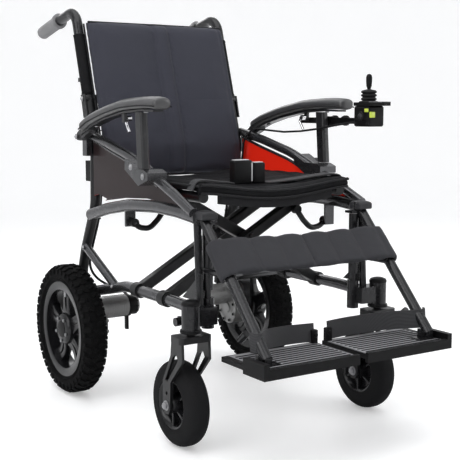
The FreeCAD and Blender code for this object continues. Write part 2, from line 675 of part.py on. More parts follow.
def caster_fork(s):
    x = s * STEM_X
    low, high = CROWN_Z
    leg_in = CASTER_WIDTH / 2 + FORK_GAP
    crown = block((x - CROWN_LENGTH / 2, x + CROWN_LENGTH / 2),
                  (STEM_Y - CROWN_DEPTH / 2, STEM_Y + CROWN_DEPTH / 2), (low, high))
    crown = crown.makeFillet(9.0, [edge for edge in crown.Edges if abs(edge.Vertexes[0].Z - edge.Vertexes[1].Z) > 5])
    stem = rod(vector(x, STEM_Y, high), vector(x, STEM_Y, HOUSING_Z[1] - 8), STEM_D)
    legs = []
    for face in (-1, 1):
        outline = ((STEM_Y - 20, low + 4), (STEM_Y + 20, low + 4), (STEM_Y + 24, 196), (CASTER_Y + 14, 140),
                   (CASTER_Y + 15, CASTER_Z - 6), (CASTER_Y + 6, CASTER_Z - 18), (CASTER_Y - 8, CASTER_Z - 17),
                   (CASTER_Y - 15, CASTER_Z - 4), (CASTER_Y - 17, 140), (STEM_Y - 22, 190))
        inner = x + face * leg_in
        leg = outline_plate(outline, (inner, inner + face * FORK_LEG))
        slot = outline_plate(((STEM_Y + 2, 204), (STEM_Y + 14, 196), (CASTER_Y + 4, 142), (CASTER_Y - 7, 142),
                              (STEM_Y - 6, 192)), (inner - face, inner + face * (FORK_LEG + 1)))
        leg = leg.cut(slot)
        for drop in (26.0,):
            hole = rod(vector(inner - face, CASTER_Y - 1, CASTER_Z + drop),
                       vector(inner + face * (FORK_LEG + 1), CASTER_Y - 1, CASTER_Z + drop), 8.0)
            leg = leg.cut(hole)
        legs.append(leg)
    axle_half = leg_in + FORK_LEG + 5
    axle = rod(vector(x - axle_half, CASTER_Y, CASTER_Z), vector(x + axle_half, CASTER_Y, CASTER_Z), CASTER_AXLE_D)
    return crown.fuse(legs).fuse(stem).fuse(axle).removeSplitter()


def caster_tyre(s):
    half = CASTER_WIDTH / 2
    outer = CASTER_OD / 2
    profile = ((-half * 0.8, CASTER_RIM_R), (-half, CASTER_RIM_R + 9), (-half * 0.96, outer - 15),
               (-half * 0.74, outer - 5), (-half * 0.35, outer), (half * 0.35, outer), (half * 0.74, outer - 5),
               (half * 0.96, outer - 15), (half, CASTER_RIM_R + 9), (half * 0.8, CASTER_RIM_R))
    return turned(profile, vector(s * STEM_X, CASTER_Y, CASTER_Z), vector(1, 0, 0))


def caster_rim(s):
    half = CASTER_WIDTH / 2 * 0.8
    bore = CASTER_AXLE_D / 2 + RUNNING
    boss = CASTER_WIDTH / 2 + FORK_GAP - 1
    profile = ((-boss, bore), (-boss, CASTER_HUB_R - 4), (-6, CASTER_HUB_R), (-6, CASTER_RIM_R - 8),
               (-half, CASTER_RIM_R - 5), (-half, CASTER_RIM_R), (half, CASTER_RIM_R), (half, CASTER_RIM_R - 5),
               (6, CASTER_RIM_R - 8), (6, CASTER_HUB_R), (boss, CASTER_HUB_R - 4), (boss, bore))
    return turned(profile, vector(s * STEM_X, CASTER_Y, CASTER_Z), vector(1, 0, 0))


# ---------------------------------------------------------------- cross brace
def on_cross(distance, s):
    """A point of a cross tube, measured up from the centre pivot; s gives the side it rises to."""
    return s * distance * math.cos(CROSS_ANGLE), CENTRE_Z + distance * math.sin(CROSS_ANGLE)


SLEEVE_D = 34.0
SLEEVE_BORE = FRAME_TUBE + 1.2


def cross_bar(s, y):
    """One square tube rising towards side s, with the sleeve that turns on the lower rail."""
    half = CROSS_TUBE / 2
    bar = block((-CROSS_LOWER, SEAT_RAIL_REACH), (y - half, y + half), (-half, half))
    bar = bar.makeFillet(4.0, [edge for edge in bar.Edges if edge.Length > 200])
    bar.rotate(vector(0, 0, 0), vector(0, 1, 0), -math.degrees(CROSS_ANGLE))
    bar.translate(vector(0, 0, CENTRE_Z))
    if s < 0:
        bar = bar.mirror(vector(0, 0, 0), vector(1, 0, 0))
    low = vector(-s * FRAME_X, y - half, PIVOT_Z)
    high = vector(-s * FRAME_X, y + half, PIVOT_Z)
    return bar.fuse(rod(low, high, SLEEVE_D)).cut(rod(low, high, SLEEVE_BORE)).cut(seat_rail(s))


def seat_rail(s):
    x, z = on_cross(SEAT_RAIL_REACH, s)
    return rod(vector(x, SEAT_RAIL_Y[0], z), vector(x, SEAT_RAIL_Y[1], z), LIGHT_TUBE)


def cross_tubes_a():
    """The two tubes that rise to the left, the left seat rail and the centre pivot bolts."""
    bars = []
    for y in CROSS_A_Y:
        bar = cross_bar(1.0, y)
        face = y + CROSS_TUBE / 2
        far = y + CROSS_PITCH + CROSS_TUBE / 2 + 5
        bolt = rod(vector(0, y - CROSS_TUBE / 2 - 4, CENTRE_Z), vector(0, far, CENTRE_Z), PIN_D)
        head = rod(vector(0, y - CROSS_TUBE / 2 - 5, CENTRE_Z), vector(0, y - CROSS_TUBE / 2, CENTRE_Z), 14.0)
        washer = rod(vector(0, face, CENTRE_Z), vector(0, face + CROSS_PITCH - CROSS_TUBE - 0.5, CENTRE_Z), 20.0)
        bars.append(bar.fuse([bolt, head, washer]))
    return group(*bars, seat_rail(1.0))


def cross_tubes_b():
    """The two tubes that rise to the right and the right seat rail."""
    bars = []
    for y in CROSS_A_Y:
        bar = cross_bar(-1.0, y + CROSS_PITCH)
        bore = rod(vector(0, y, CENTRE_Z), vector(0, y + 2 * CROSS_PITCH, CENTRE_Z), PIN_D + 2 * RUNNING)
        bars.append(bar.cut(bore))
    return group(*bars, seat_rail(-1.0))


def fold_link(s):
    y = link_y(s)
    points = [vector(s * (LINK_X - inward), y, LINK_Z + up) for inward, up in LINK_BOW]
    bow = tube(points, LINK_D - 1, 26.0)
    half = vector(0, LINK_D / 2, 0)
    link = bow.fuse(rod(points[0] - half, points[0] + half, LINK_EYE_D))
    link = link.fuse(rod(points[-1] - half, points[-1] + half, LINK_EYE_D))
    return link.cut(rod(points[0] - half * 2, points[0] + half * 2, LINK_PIN_D + 2 * RUNNING))


# ---------------------------------------------------------------- soft parts, plain solids
SEAT_HALF = 196.0
SAG_HALF = 122.0
SEAT_TOP = 536.0
SEAT_DEPTH = (-486.0, -70.0)
BACK_HALF = 192.0
BACK_SKIN = (17.0, 52.0)    # nearest and furthest distance in front of the cane's centre line
BACK_LOW = 540.0
BACK_TOP = 900.0
STRAP_OUT = (12.5, 27.0)
STRAP_ALONG = (66.0, 150.0)
STRAP_HALF = 222.0
BUCKLE_X = (-58.0, 24.0)
BUCKLE_Y = (-416.0, -384.0)
BUCKLE_HEIGHT = 38.0
BELT_THICKNESS = 3.0
BELT_OUTLINE = ((-190.0, -480.0), (-190.0, -432.0), (BUCKLE_X[0], -386.0), (BUCKLE_X[0], -414.0))


def seat_pad():
    rail_top = SEAT_RAIL_Z + LIGHT_TUBE / 2 + SKIN_GAP
    top = block((-SEAT_HALF, SEAT_HALF), SEAT_DEPTH, (rail_top, SEAT_TOP))
    sag = block((-SAG_HALF, SAG_HALF), SEAT_DEPTH, (rail_top - 20.0, rail_top))
    return top.fuse(sag).removeSplitter()


def back_panel(low, high):
    """A slab in front of the canes between two heights of their line."""
    near, far = BACK_SKIN
    outline = []
    for z in (low, high):
        outline.append((max(cane_y(z), CANE_LOW[0]) - near, z))
    for z in (high, low):
        outline.append((max(cane_y(z), CANE_LOW[0]) - far, z))
    if low < CANE_LOW[1] < high:
        outline.insert(1, (CANE_LOW[0] - near, CANE_LOW[1]))
        outline.insert(4, (CANE_LOW[0] - far, CANE_LOW[1]))
    return outline_plate(outline, (-BACK_HALF, BACK_HALF))


def calf_strap():
    """A band in front of both hanger tubes, parallel to them."""
    dy = HANGER_FOOT[0] - HANGER_TOP[0]
    dz = HANGER_FOOT[1] - HANGER_TOP[1]
    length = math.hypot(dy, dz)
    outline = []
    for along, out in ((STRAP_ALONG[0], STRAP_OUT[0]), (STRAP_ALONG[0], STRAP_OUT[1]),
                       (STRAP_ALONG[1], STRAP_OUT[1]), (STRAP_ALONG[1], STRAP_OUT[0])):
        y = HANGER_TOP[0] + dy / length * along + dz / length * out
        z = HANGER_TOP[1] + dz / length * along - dy / length * out
        outline.append((y, z))
    return outline_plate(outline, (-STRAP_HALF, STRAP_HALF))


def lap_belt():
    """The lap belt lying across the seat, and its buckle."""
    lying = SEAT_TOP + 0.5
    corners = [vector(x, y, lying) for x, y in BELT_OUTLINE]
    webbing = Part.Face(Part.makePolygon(corners + corners[:1])).extrude(vector(0, 0, BELT_THICKNESS))
    buckle = block(BUCKLE_X, BUCKLE_Y, (lying, lying + BUCKLE_HEIGHT))
    return group(webbing, buckle)


# ---------------------------------------------------------------- controller
CASE_X = 238.0
STICK_HOLE_D = 36.0
TRUNNION_D = 4.0
TRUNNION_REACH = 21.0
GIMBAL_R = (9.5, 13.0)      # inner and outer radius of the ring
GIMBAL_HEIGHT = 6.0
STICK_TRUNNION_D = 3.0
BOOT_TOP_Z = 731.0


def controller():
    half = CONTROLLER_WIDTH / 2
    low, high = CONTROLLER_Z
    front, rear = CONTROLLER_Y
    case = rounded_block((CASE_X - half, CASE_X + half), (front, rear), (low, high), 5.0)
    top = high + CONTROLLER_TOP
    corners = ((CASE_X - half, rear), (CASE_X - half, front), (CASE_X - half + 14, front - 35),
               (CASE_X + half - 14, front - 35), (CASE_X + half, front), (CASE_X + half, rear))
    points = [vector(x, y, high) for x, y in corners]
    face = Part.Face(Part.makePolygon(points + points[:1]))
    lid = face.extrude(vector(0, 0, top - high))
    hole = rod(vector(CASE_X, STICK_Y, STICK_PIVOT_Z - 12), vector(CASE_X, STICK_Y, top + 1), STICK_HOLE_D)
    rail_half = RAIL_SIZE / 2
    rail = block((RAIL_X - rail_half, RAIL_X + rail_half), (-508, -230), (RAIL_Z - rail_half, RAIL_Z + rail_half))
    trunnion = vector(TRUNNION_REACH + SKIN_GAP, 0, 0)
    pivot = vector(CASE_X, STICK_Y, STICK_PIVOT_Z)
    bore = rod(pivot - trunnion, pivot + trunnion, TRUNNION_D + 2 * RUNNING)
    body = case.fuse(lid).cut(hole).cut(bore).cut(rail)
    body = largest(body)
    return group(body, rail, rail_clamp(rail))


def rail_clamp(rail):
    """The clamp that holds the square rail against the outer side of the left arm post."""
    inner = ARM_X + POST_SIZE[0] / 2 + 0.0
    outer = RAIL_X + RAIL_SIZE / 2 + 5
    body = block((inner, outer), (-348, -316), (RAIL_Z - 14, RAIL_Z + 10))
    screw = rod(vector(outer, -332, RAIL_Z), vector(outer + 9, -332, RAIL_Z), 16)
    return body.cut(rail).fuse(screw)


def joystick_gimbal():
    """The ring that tips fore and aft in the case and carries the stick's own trunnions."""
    pivot = vector(CASE_X, STICK_Y, STICK_PIVOT_Z)
    inner, outer = GIMBAL_R
    half = vector(0, 0, GIMBAL_HEIGHT / 2)
    body = ring(pivot - half, pivot + half, 2 * outer, 2 * inner)
    middle = (inner + outer) / 2
    for face in (-1, 1):
        body = body.fuse(rod(pivot + vector(face * middle, 0, 0), pivot + vector(face * TRUNNION_REACH, 0, 0), TRUNNION_D))
    bore = rod(pivot - vector(0, outer + 1, 0), pivot + vector(0, outer + 1, 0), STICK_TRUNNION_D + 2 * RUNNING)
    return body.removeSplitter().cut(bore)


def joystick():
    centre = vector(CASE_X, STICK_Y, 0)
    pivot = vector(CASE_X, STICK_Y, STICK_PIVOT_Z)
    reach = vector(0, GIMBAL_R[1] - 0.5, 0)
    profile = ((STICK_PIVOT_Z - 6, 0), (STICK_PIVOT_Z - 6, 5), (STICK_PIVOT_Z + 6, 5), (STICK_PIVOT_Z + 8, 3.5),
               (BOOT_TOP_Z, 3.5), (BOOT_TOP_Z + 2, 5), (STICK_TOP_Z - 18, 7), (STICK_TOP_Z - 6, 7),
               (STICK_TOP_Z, 3), (STICK_TOP_Z, 0))
    stick = turned(profile, centre, vector(0, 0, 1))
    return stick.fuse(rod(pivot - reach, pivot + reach, STICK_TRUNNION_D)).removeSplitter()


def joystick_boot():
    """A ribbed rubber bellows round the stick."""
    base = CONTROLLER_Z[1] + CONTROLLER_TOP + 0.3
    centre = vector(CASE_X, STICK_Y, 0)
    outer = ((base, 22), (base + 3, 22), (base + 6, 17), (base + 10, 20), (base + 14, 14), (base + 18, 17),
             (base + 22, 10), (base + 28, 9), (BOOT_TOP_Z - 1, 6))
    inner = ((BOOT_TOP_Z - 1, 3.8), (base + 20, 3.8), (base + 14, 9), (base, 15))
    points = [centre + vector(radius, 0, along) for along, radius in outer + inner]
    face = Part.Face(Part.makePolygon(points + points[:1]))
    return face.revolve(centre, vector(0, 0, 1), 360)


LEAD_ROUTE = ((236, -478, 656), (236, -444, 656), (226, -402, 650), (222, -345, 641), (221, -275, 634), (222, -205, 631),
              (221, -140, 634), (213, -85, 638), (202, -58, 612), (200.5, -51, 560), (200, -50, 505),
              (200, -48, 450), (197, -36, 395), (186, -16, 340), (172, 0, 290), (160, 4, 252), (158, 4, 223.5))


def controller_lead():
    """The lead from the controller along the arm and the left upright to the motor."""
    points = [vector(*point) for point in LEAD_ROUTE]
    return tube(points, LEAD_D, 40.0)


# ---------------------------------------------------------------- battery
BATTERY_X = (-136.0, -16.0)
BATTERY_Y = (32.0, 92.0)
BATTERY_Z = (478.0, 668.0)


def battery_pack():
    case = rounded_block(BATTERY_X, BATTERY_Y, BATTERY_Z, 8.0)
    arm = block((-CANE_X - 3, -CANE_X + 3), (-12, BATTERY_Y[0]), (512, 562)).cut(upright_tube(-1.0))
    arm = largest(arm)
    tray = block((-CANE_X + 3, BATTERY_X[0] + 30), (BATTERY_Y[0] - 4, BATTERY_Y[0]), (512, 562))
    return group(case, arm.fuse(tray))


# ---------------------------------------------------------------- write the nodes
SIDED = {
    "rear_upright": rear_upright, "arch_rail": arch_rail, "lower_rail": lower_rail, "arm_rail": arm_rail,
    "side_guard": side_guard, "front_upright": front_upright, "back_cane": back_cane, "push_grip": push_grip,
    "cane_latch": cane_latch, "arm_frame": arm_frame, "arm_latch": arm_latch, "arm_pad": arm_pad,
    "hanger": hanger, "footplate": footplate, "heel_strap": heel_strap, "tyre": tyre, "wheel_rim": wheel_rim,
    "drive_unit": drive_unit, "clutch_lever": clutch_lever, "caster_fork": caster_fork,
    "caster_tyre": caster_tyre, "caster_rim": caster_rim, "fold_link": fold_link,
}
SINGLE = {
    "cross_tubes_a": cross_tubes_a, "cross_tubes_b": cross_tubes_b, "seat_pad": seat_pad, "calf_strap": calf_strap,
    "lap_belt": lap_belt, "controller": controller, "joystick": joystick, "joystick_gimbal": joystick_gimbal,
    "joystick_boot": joystick_boot,
    "controller_lead": controller_lead, "battery_pack": battery_pack,
}


def build():
    for name, make in SIDED.items():
        for side, s in SIDES:
            NODES[name + "_" + side] = make(s)
    for name, make in SINGLE.items():
        NODES[name] = make()
    NODES["back_lower"] = back_panel(BACK_LOW, BACK_PIVOT_Z - 1.0)
    NODES["back_upper"] = back_panel(BACK_PIVOT_Z + 1.0, BACK_TOP)
    for shape in NODES.values():
        shape.translate(vector(0, AXLE_Y, 0))


def write():
    os.makedirs("parts", exist_ok=True)
    for name, shape in NODES.items():
        shape.exportStep("parts/" + name + ".step")


build()
write()
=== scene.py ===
import math
import bmesh
import bpy
from mathutils import Matrix, Vector, noise


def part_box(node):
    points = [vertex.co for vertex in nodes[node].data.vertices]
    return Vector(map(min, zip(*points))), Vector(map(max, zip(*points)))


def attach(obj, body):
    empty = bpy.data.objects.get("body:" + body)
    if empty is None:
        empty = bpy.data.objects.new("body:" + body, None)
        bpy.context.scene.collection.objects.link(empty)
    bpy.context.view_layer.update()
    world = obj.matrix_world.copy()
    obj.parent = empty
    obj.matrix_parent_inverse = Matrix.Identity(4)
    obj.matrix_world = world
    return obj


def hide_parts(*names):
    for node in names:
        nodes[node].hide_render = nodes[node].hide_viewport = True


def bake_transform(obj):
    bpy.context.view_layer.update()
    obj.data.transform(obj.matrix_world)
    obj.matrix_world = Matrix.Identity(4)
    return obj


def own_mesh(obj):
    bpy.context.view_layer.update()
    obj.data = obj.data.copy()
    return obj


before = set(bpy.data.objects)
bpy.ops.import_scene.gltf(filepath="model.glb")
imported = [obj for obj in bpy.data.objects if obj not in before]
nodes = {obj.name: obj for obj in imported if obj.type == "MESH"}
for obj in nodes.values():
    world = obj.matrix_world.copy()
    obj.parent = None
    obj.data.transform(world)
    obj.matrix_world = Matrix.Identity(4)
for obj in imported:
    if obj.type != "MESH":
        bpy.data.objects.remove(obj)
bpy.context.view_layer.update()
scene = bpy.context.scene

# ---------------------------------------------------------------- places taken from the frame
TURN = 2 * math.pi
AXLE = sum(c.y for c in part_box("tyre_right")) / 2
SIDES = (("right", -1), ("left", 1))
FRAME_OF = {"right": "root", "left": "frame_left"}
X, Y, Z = Vector((1, 0, 0)), Vector((0, 1, 0)), Vector((0, 0, 1))


def mm(x, y, z):
    """A place in millimetres, with y measured from the rear axle, in the frame's metres."""
    return Vector((x / 1000, y / 1000 + AXLE, z / 1000))


def middle(node):
    low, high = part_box(node)
    return (low + high) / 2


# ---------------------------------------------------------------- camera, floor, lights
def place_camera():
    data = bpy.data.cameras.new("camera")
    data.lens = 77.17
    data.sensor_width = 36.0
    camera = bpy.data.objects.new("camera", data)
    scene.collection.objects.link(camera)
    camera.location = (-1.23485, -2.19343 + AXLE, 0.68480)
    aim = Vector((0.0, -0.30062 + AXLE, 0.40987)) - camera.location
    camera.rotation_euler = aim.to_track_quat("-Z", "Y").to_euler()
    scene.camera = camera


def area_light(name, place, target, size, power, colour=(1, 1, 1)):
    data = bpy.data.lights.new(name, "AREA")
    data.shape = "RECTANGLE"
    data.size, data.size_y = size
    data.energy = power
    data.color = colour
    lamp = bpy.data.objects.new(name, data)
    scene.collection.objects.link(lamp)
    lamp.location = place
    lamp.rotation_euler = (Vector(target) - Vector(place)).to_track_quat("-Z", "Y").to_euler()


scene.view_settings.view_transform = "Standard"
place_camera()
area_light("overhead softbox", (-0.4, -0.4, 2.7), (0, 0, 0.3), (2.6, 2.6), 34)
area_light("left softbox", (-2.6, -0.6, 1.7), (0, 0, 0.5), (1.6, 2.0), 26)
area_light("right softbox", (2.2, -2.0, 1.5), (0, 0, 0.5), (1.4, 2.0), 18)
area_light("rear strip", (0.6, 2.6, 1.9), (0, 0, 0.6), (2.2, 0.9), 14)
world = bpy.data.worlds.new("studio")
scene.world = world
world.use_nodes = True
world.node_tree.nodes["Background"].inputs["Color"].default_value = (0.95, 0.96, 0.97, 1)
world.node_tree.nodes["Background"].inputs["Strength"].default_value = 0.95


# ---------------------------------------------------------------- materials
def node(tree, kind, values=(), **settings):
    made = tree.nodes.new(kind)
    for key, value in settings.items():
        setattr(made, key, value)
    for key, value in dict(values).items():
        made.inputs[key].default_value = value
    return made


def rgba(colour):
    return (*colour, 1.0)


class Finish:
    """A material under construction: its colour, gloss and relief come from patterns in Object coordinates."""

    def __init__(self, name, dark, light, scale, rough, **sockets):
        self.material = bpy.data.materials.new(name)
        self.material.use_nodes = True
        self.tree = self.material.node_tree
        self.shader = self.tree.nodes["Principled BSDF"]
        for key, value in sockets.items():
            self.shader.inputs[key.replace("_", " ")].default_value = value
        self.place = node(self.tree, "ShaderNodeTexCoord").outputs["Object"]
        cloud = self.noise(scale, 5.0)
        self.colour = self.mix(cloud, dark, light)
        self.gloss = self.ranged(cloud, rough)
        self.height = None

    def link(self, source, target):
        self.tree.links.new(source, target)

    def noise(self, scale, detail=3.0):
        made = node(self.tree, "ShaderNodeTexNoise", {"Scale": scale, "Detail": detail, "Roughness": 0.6})
        self.link(self.place, made.inputs["Vector"])
        return made.outputs["Fac"]

    def cells(self, scale, feature="F1"):
        made = node(self.tree, "ShaderNodeTexVoronoi", {"Scale": scale}, feature=feature)
        self.link(self.place, made.inputs["Vector"])
        return made.outputs["Distance"]

    def math(self, kind, a, b=None):
        made = node(self.tree, "ShaderNodeMath", operation=kind)
        for slot_, value in zip(made.inputs, (a, b)):
            if isinstance(value, (int, float)):
                slot_.default_value = value
            elif value is not None:
                self.link(value, slot_)
        return made.outputs[0]

    def ranged(self, source, to, between=(0.3, 0.7)):
        made = node(self.tree, "ShaderNodeMapRange", {"From Min": between[0], "From Max": between[1],
                                                      "To Min": to[0], "To Max": to[1]})
        self.link(source, made.inputs["Value"])
        return made.outputs["Result"]

    def mix(self, factor, a, b):
        made = node(self.tree, "ShaderNodeMix", data_type="RGBA")
        self.link(factor, made.inputs["Factor"])
        for key, value in (("A", a), ("B", b)):
            socket = [s for s in made.inputs if s.name == key and s.type == "RGBA"][0]
            if isinstance(value, tuple):
                socket.default_value = rgba(value)
            else:
                self.link(value, socket)
        return [s for s in made.outputs if s.type == "RGBA"][0]

    def axis(self, name):
        made = node(self.tree, "ShaderNodeSeparateXYZ")
        self.link(self.place, made.inputs["Vector"])
        return made.outputs[name]

    def stripes(self, value, pitch):
        """A wave of the given pitch in metres along a value, from 0 to 1."""
        turned_ = self.math("SINE", self.math("MULTIPLY", value, TURN / pitch))
        return self.math("MULTIPLY_ADD", turned_, 0.5)

    def relief(self, height, strength, distance):
        bump = node(self.tree, "ShaderNodeBump", {"Strength": strength, "Distance": distance})
        self.link(height, bump.inputs["Height"])
        if self.height is not None:
            self.link(self.height, bump.inputs["Normal"])
        self.height = bump.outputs["Normal"]
        return self

    def done(self):
        self.link(self.colour, self.shader.inputs["Base Color"])
        self.link(self.gloss, self.shader.inputs["Roughness"])
        if self.height is not None:
            self.link(self.height, self.shader.inputs["Normal"])
        return self.material


def paint(name, dark, light, rough, metallic=0.4, coat=0.5, grain=0.25):
    made = Finish(name, dark, light, 9.0, rough, Metallic=metallic, Coat_Weight=coat, Coat_Roughness=0.08,
                  Specular_IOR_Level=0.3)
    made.relief(made.noise(420.0, 2.0), grain, 0.0002)
    dust = made.ranged(made.noise(60.0, 6.0), (0.0, 0.35), (0.55, 0.8))
    made.colour = made.mix(dust, made.colour, tuple(min(1.0, 2.2 * c) for c in light))
    return made.done()


def cloth(name, dark, light, pitch=0.0022, sheen=0.35, rough=(0.62, 0.82), relief=0.5):
    """Woven nylon: two crossing threads, with slight fading and creases."""
    made = Finish(name, dark, light, 7.0, rough, Sheen_Weight=sheen, Sheen_Roughness=0.4, Specular_IOR_Level=0.15)
    warp = made.stripes(made.axis("X"), pitch)
    weft = made.stripes(made.math("ADD", made.axis("Y"), made.axis("Z")), pitch)
    weave = made.math("MAXIMUM", warp, weft)
    made.colour = made.mix(made.ranged(weave, (0.0, 0.45), (0.3, 1.0)), made.colour, tuple(c * 1.5 for c in light))
    made.relief(made.noise(26.0, 4.0), 0.35, 0.003)
    made.relief(weave, relief, 0.0004)
    return made.done()


def plastic(name, dark, light, rough, cells=900.0, relief=0.25, shine=0.2, **sockets):
    made = Finish(name, dark, light, 14.0, rough, Specular_IOR_Level=shine, **sockets)
    made.relief(made.cells(cells), relief, 0.0002)
    return made.done()


def guard_skin():
    """Gloss panel, red on the side facing the seat and dark maroon outside."""
    made = Finish("guard panel", (0.92, 0.020, 0.006), (0.98, 0.032, 0.012), 6.0, (0.26, 0.36),
                  Specular_IOR_Level=0.25)
    outside = made.math("GREATER_THAN", made.math("ABSOLUTE", made.axis("X")), 0.2152)
    made.colour = made.mix(outside, made.colour, (0.013, 0.005, 0.0055))
    made.relief(made.noise(180.0, 2.0), 0.12, 0.0003)
    return made.done()


def tyre_rubber(name, dark, light):
    made = Finish(name, dark, light, 22.0, (0.66, 0.86), Specular_IOR_Level=0.07)
    dust = made.ranged(made.noise(48.0, 8.0), (0.0, 0.5), (0.5, 0.75))
    made.colour = made.mix(dust, made.colour, (0.011, 0.0108, 0.0105))
    made.relief(made.cells(700.0), 0.4, 0.0003)
    made.relief(made.noise(150.0, 4.0), 0.3, 0.0006)
    return made.done()


def webbing(name, dark, light):
    made = Finish(name, dark, light, 20.0, (0.6, 0.8), Sheen_Weight=0.05, Specular_IOR_Level=0.15)
    diagonal = made.math("ADD", made.axis("X"), made.math("ADD", made.axis("Y"), made.axis("Z")))
    ribs = made.stripes(diagonal, 0.0032)
    made.colour = made.mix(ribs, made.colour, tuple(1.9 * c for c in light))
    made.relief(ribs, 0.6, 0.0005)
    return made.done()


def brushed(name, dark, light, rough, metallic=1.0):
    made = Finish(name, dark, light, 18.0, rough, Metallic=metallic)
    lines = made.stripes(made.axis("X"), 0.0021)
    made.relief(made.math("MULTIPLY", lines, made.noise(300.0)), 0.12, 0.0002)
    return made.done()


FRAME = paint("frame paint", (0.010, 0.010, 0.011), (0.018, 0.018, 0.020), (0.20, 0.30), 0.3, 0.2)
RAIL = paint("rail paint", (0.07, 0.07, 0.074), (0.12, 0.12, 0.125), (0.20, 0.30), 0.85, 0.2)
BRACE = paint("brace paint", (0.008, 0.008, 0.009), (0.015, 0.015, 0.016), (0.30, 0.42), 0.2, 0.12, 0.5)
POST = paint("speckled post", (0.008, 0.008, 0.009), (0.035, 0.035, 0.037), (0.25, 0.4), 0.2, 0.2, 0.9)
GUARD = guard_skin()
BACK = cloth("back cloth", (0.023, 0.024, 0.032), (0.036, 0.037, 0.049), sheen=0.08, relief=0.45)
SEAT = cloth("seat cloth", (0.0025, 0.0025, 0.003), (0.0045, 0.0045, 0.0055), sheen=0.0)
STRAP = cloth("calf cloth", (0.020, 0.020, 0.023), (0.032, 0.032, 0.036), sheen=0.05, relief=0.45)
PIPING = webbing("edge binding", (0.005, 0.005, 0.006), (0.010, 0.010, 0.011))
WEBBING = webbing("webbing", (0.016, 0.016, 0.017), (0.032, 0.032, 0.034))
THREAD = plastic("thread", (0.05, 0.05, 0.055), (0.09, 0.09, 0.10), (0.5, 0.7))
PAD = plastic("arm pad skin", (0.034, 0.034, 0.036), (0.050, 0.050, 0.052), (0.30, 0.40), 420.0, 0.3, 0.7)
GRIP = plastic("grip rubber", (0.19, 0.19, 0.195), (0.26, 0.26, 0.265), (0.34, 0.46), 600.0, 0.3)
RUBBER = plastic("soft rubber", (0.006, 0.006, 0.007), (0.012, 0.012, 0.013), (0.5, 0.7))
TYRE = tyre_rubber("tyre rubber", (0.003, 0.003, 0.0032), (0.006, 0.006, 0.0064))
CASTER = tyre_rubber("caster rubber", (0.008, 0.008, 0.0085), (0.016, 0.016, 0.017))
RIM = plastic("rim plastic", (0.006, 0.006, 0.007), (0.011, 0.011, 0.012), (0.16, 0.26), 500.0, 0.1, 0.35)
BLACK = plastic("moulded plastic", (0.004, 0.004, 0.0044), (0.008, 0.008, 0.0086), (0.34, 0.5), shine=0.12)
GREY = plastic("plate plastic", (0.20, 0.20, 0.21), (0.28, 0.28, 0.295), (0.38, 0.55))
CAP = plastic("knob plastic", (0.020, 0.020, 0.022), (0.035, 0.035, 0.038), (0.3, 0.45))
SILVER = brushed("cast silver", (0.20, 0.20, 0.20), (0.30, 0.30, 0.295), (0.34, 0.5), 0.8)
CHROME = brushed("chrome", (0.72, 0.72, 0.74), (0.86, 0.86, 0.88), (0.08, 0.2))
STEEL = brushed("zinc bolt", (0.26, 0.26, 0.27), (0.42, 0.42, 0.43), (0.28, 0.45))
LENS = plastic("lens", (0.50, 0.62, 0.06), (0.66, 0.78, 0.12), (0.15, 0.3), Coat_Weight=0.5)
# pale grey: the printed marks on the control box, and also the painted highlight strips on the belt buckle
WHITE = plastic("key print and painted highlight", (0.55, 0.55, 0.56), (0.68, 0.68, 0.70), (0.4, 0.6))
RED = plastic("switch red", (0.45, 0.02, 0.015), (0.6, 0.03, 0.02), (0.3, 0.5))


# ---------------------------------------------------------------- modelling helpers
def join(into, part):
    mesh = bpy.data.meshes.new("part")
    part.to_mesh(mesh)
    part.free()
    into.from_mesh(mesh)
    bpy.data.meshes.remove(mesh)
    return into


def merged(*parts):
    bm = bmesh.new()
    for part in parts:
        join(bm, part)
    return bm


def bevel_sharp(bm, width, segments=2, limit=0.5):
    edges = [e for e in bm.edges if e.calc_face_angle(0.0) > limit]
    bmesh.ops.bevel(bm, geom=edges, offset=width, segments=segments, profile=0.5, affect="EDGES", material=-1,
                    clamp_overlap=True)
    return bm


def box(low, high, bevel=0.0, segments=2):
    bm = bmesh.new()
    size = Vector(high) - Vector(low)
    centre = (Vector(high) + Vector(low)) / 2
    bmesh.ops.create_cube(bm, size=1.0, matrix=Matrix.Translation(centre) @ Matrix.Diagonal((*size, 1.0)))
    if bevel:
        bevel_sharp(bm, bevel, segments)
    return bm


def rod(start, end, radius, sides=24, bevel=0.0, far_radius=None):
    start, end = Vector(start), Vector(end)
    along = end - start
    bm = bmesh.new()
    turn = along.to_track_quat("Z", "Y").to_matrix().to_4x4()
    bmesh.ops.create_cone(bm, cap_ends=True, segments=sides, radius1=radius, radius2=far_radius or radius,
                          depth=along.length, matrix=Matrix.Translation((start + end) / 2) @ turn)
    if bevel:
        bevel_sharp(bm, bevel)
    return bm


def turned(profile, centre, axis=X, steps=64):
    """Spin (along, radius) points round an axis; a profile off the axis is closed into a ring."""
    bm = bmesh.new()
    verts = [bm.verts.new((0, radius, along)) for along, radius in profile]
    pairs = list(zip(verts, verts[1:]))
    if min(radius for _, radius in profile) > 1e-6:
        pairs.append((verts[-1], verts[0]))
    edges = [bm.edges.new(pair) for pair in pairs]
    bmesh.ops.spin(bm, geom=verts + edges, cent=(0, 0, 0), axis=(0, 0, 1), dvec=(0, 0, 0), angle=TURN, steps=steps,
                   use_merge=True, use_duplicate=False)
    bmesh.ops.remove_doubles(bm, verts=bm.verts, dist=1e-6)
    bmesh.ops.recalc_face_normals(bm, faces=bm.faces)
    turn = Vector(axis).to_track_quat("Z", "Y").to_matrix().to_4x4()
    bm.transform(Matrix.Translation(centre) @ turn)
    return bm


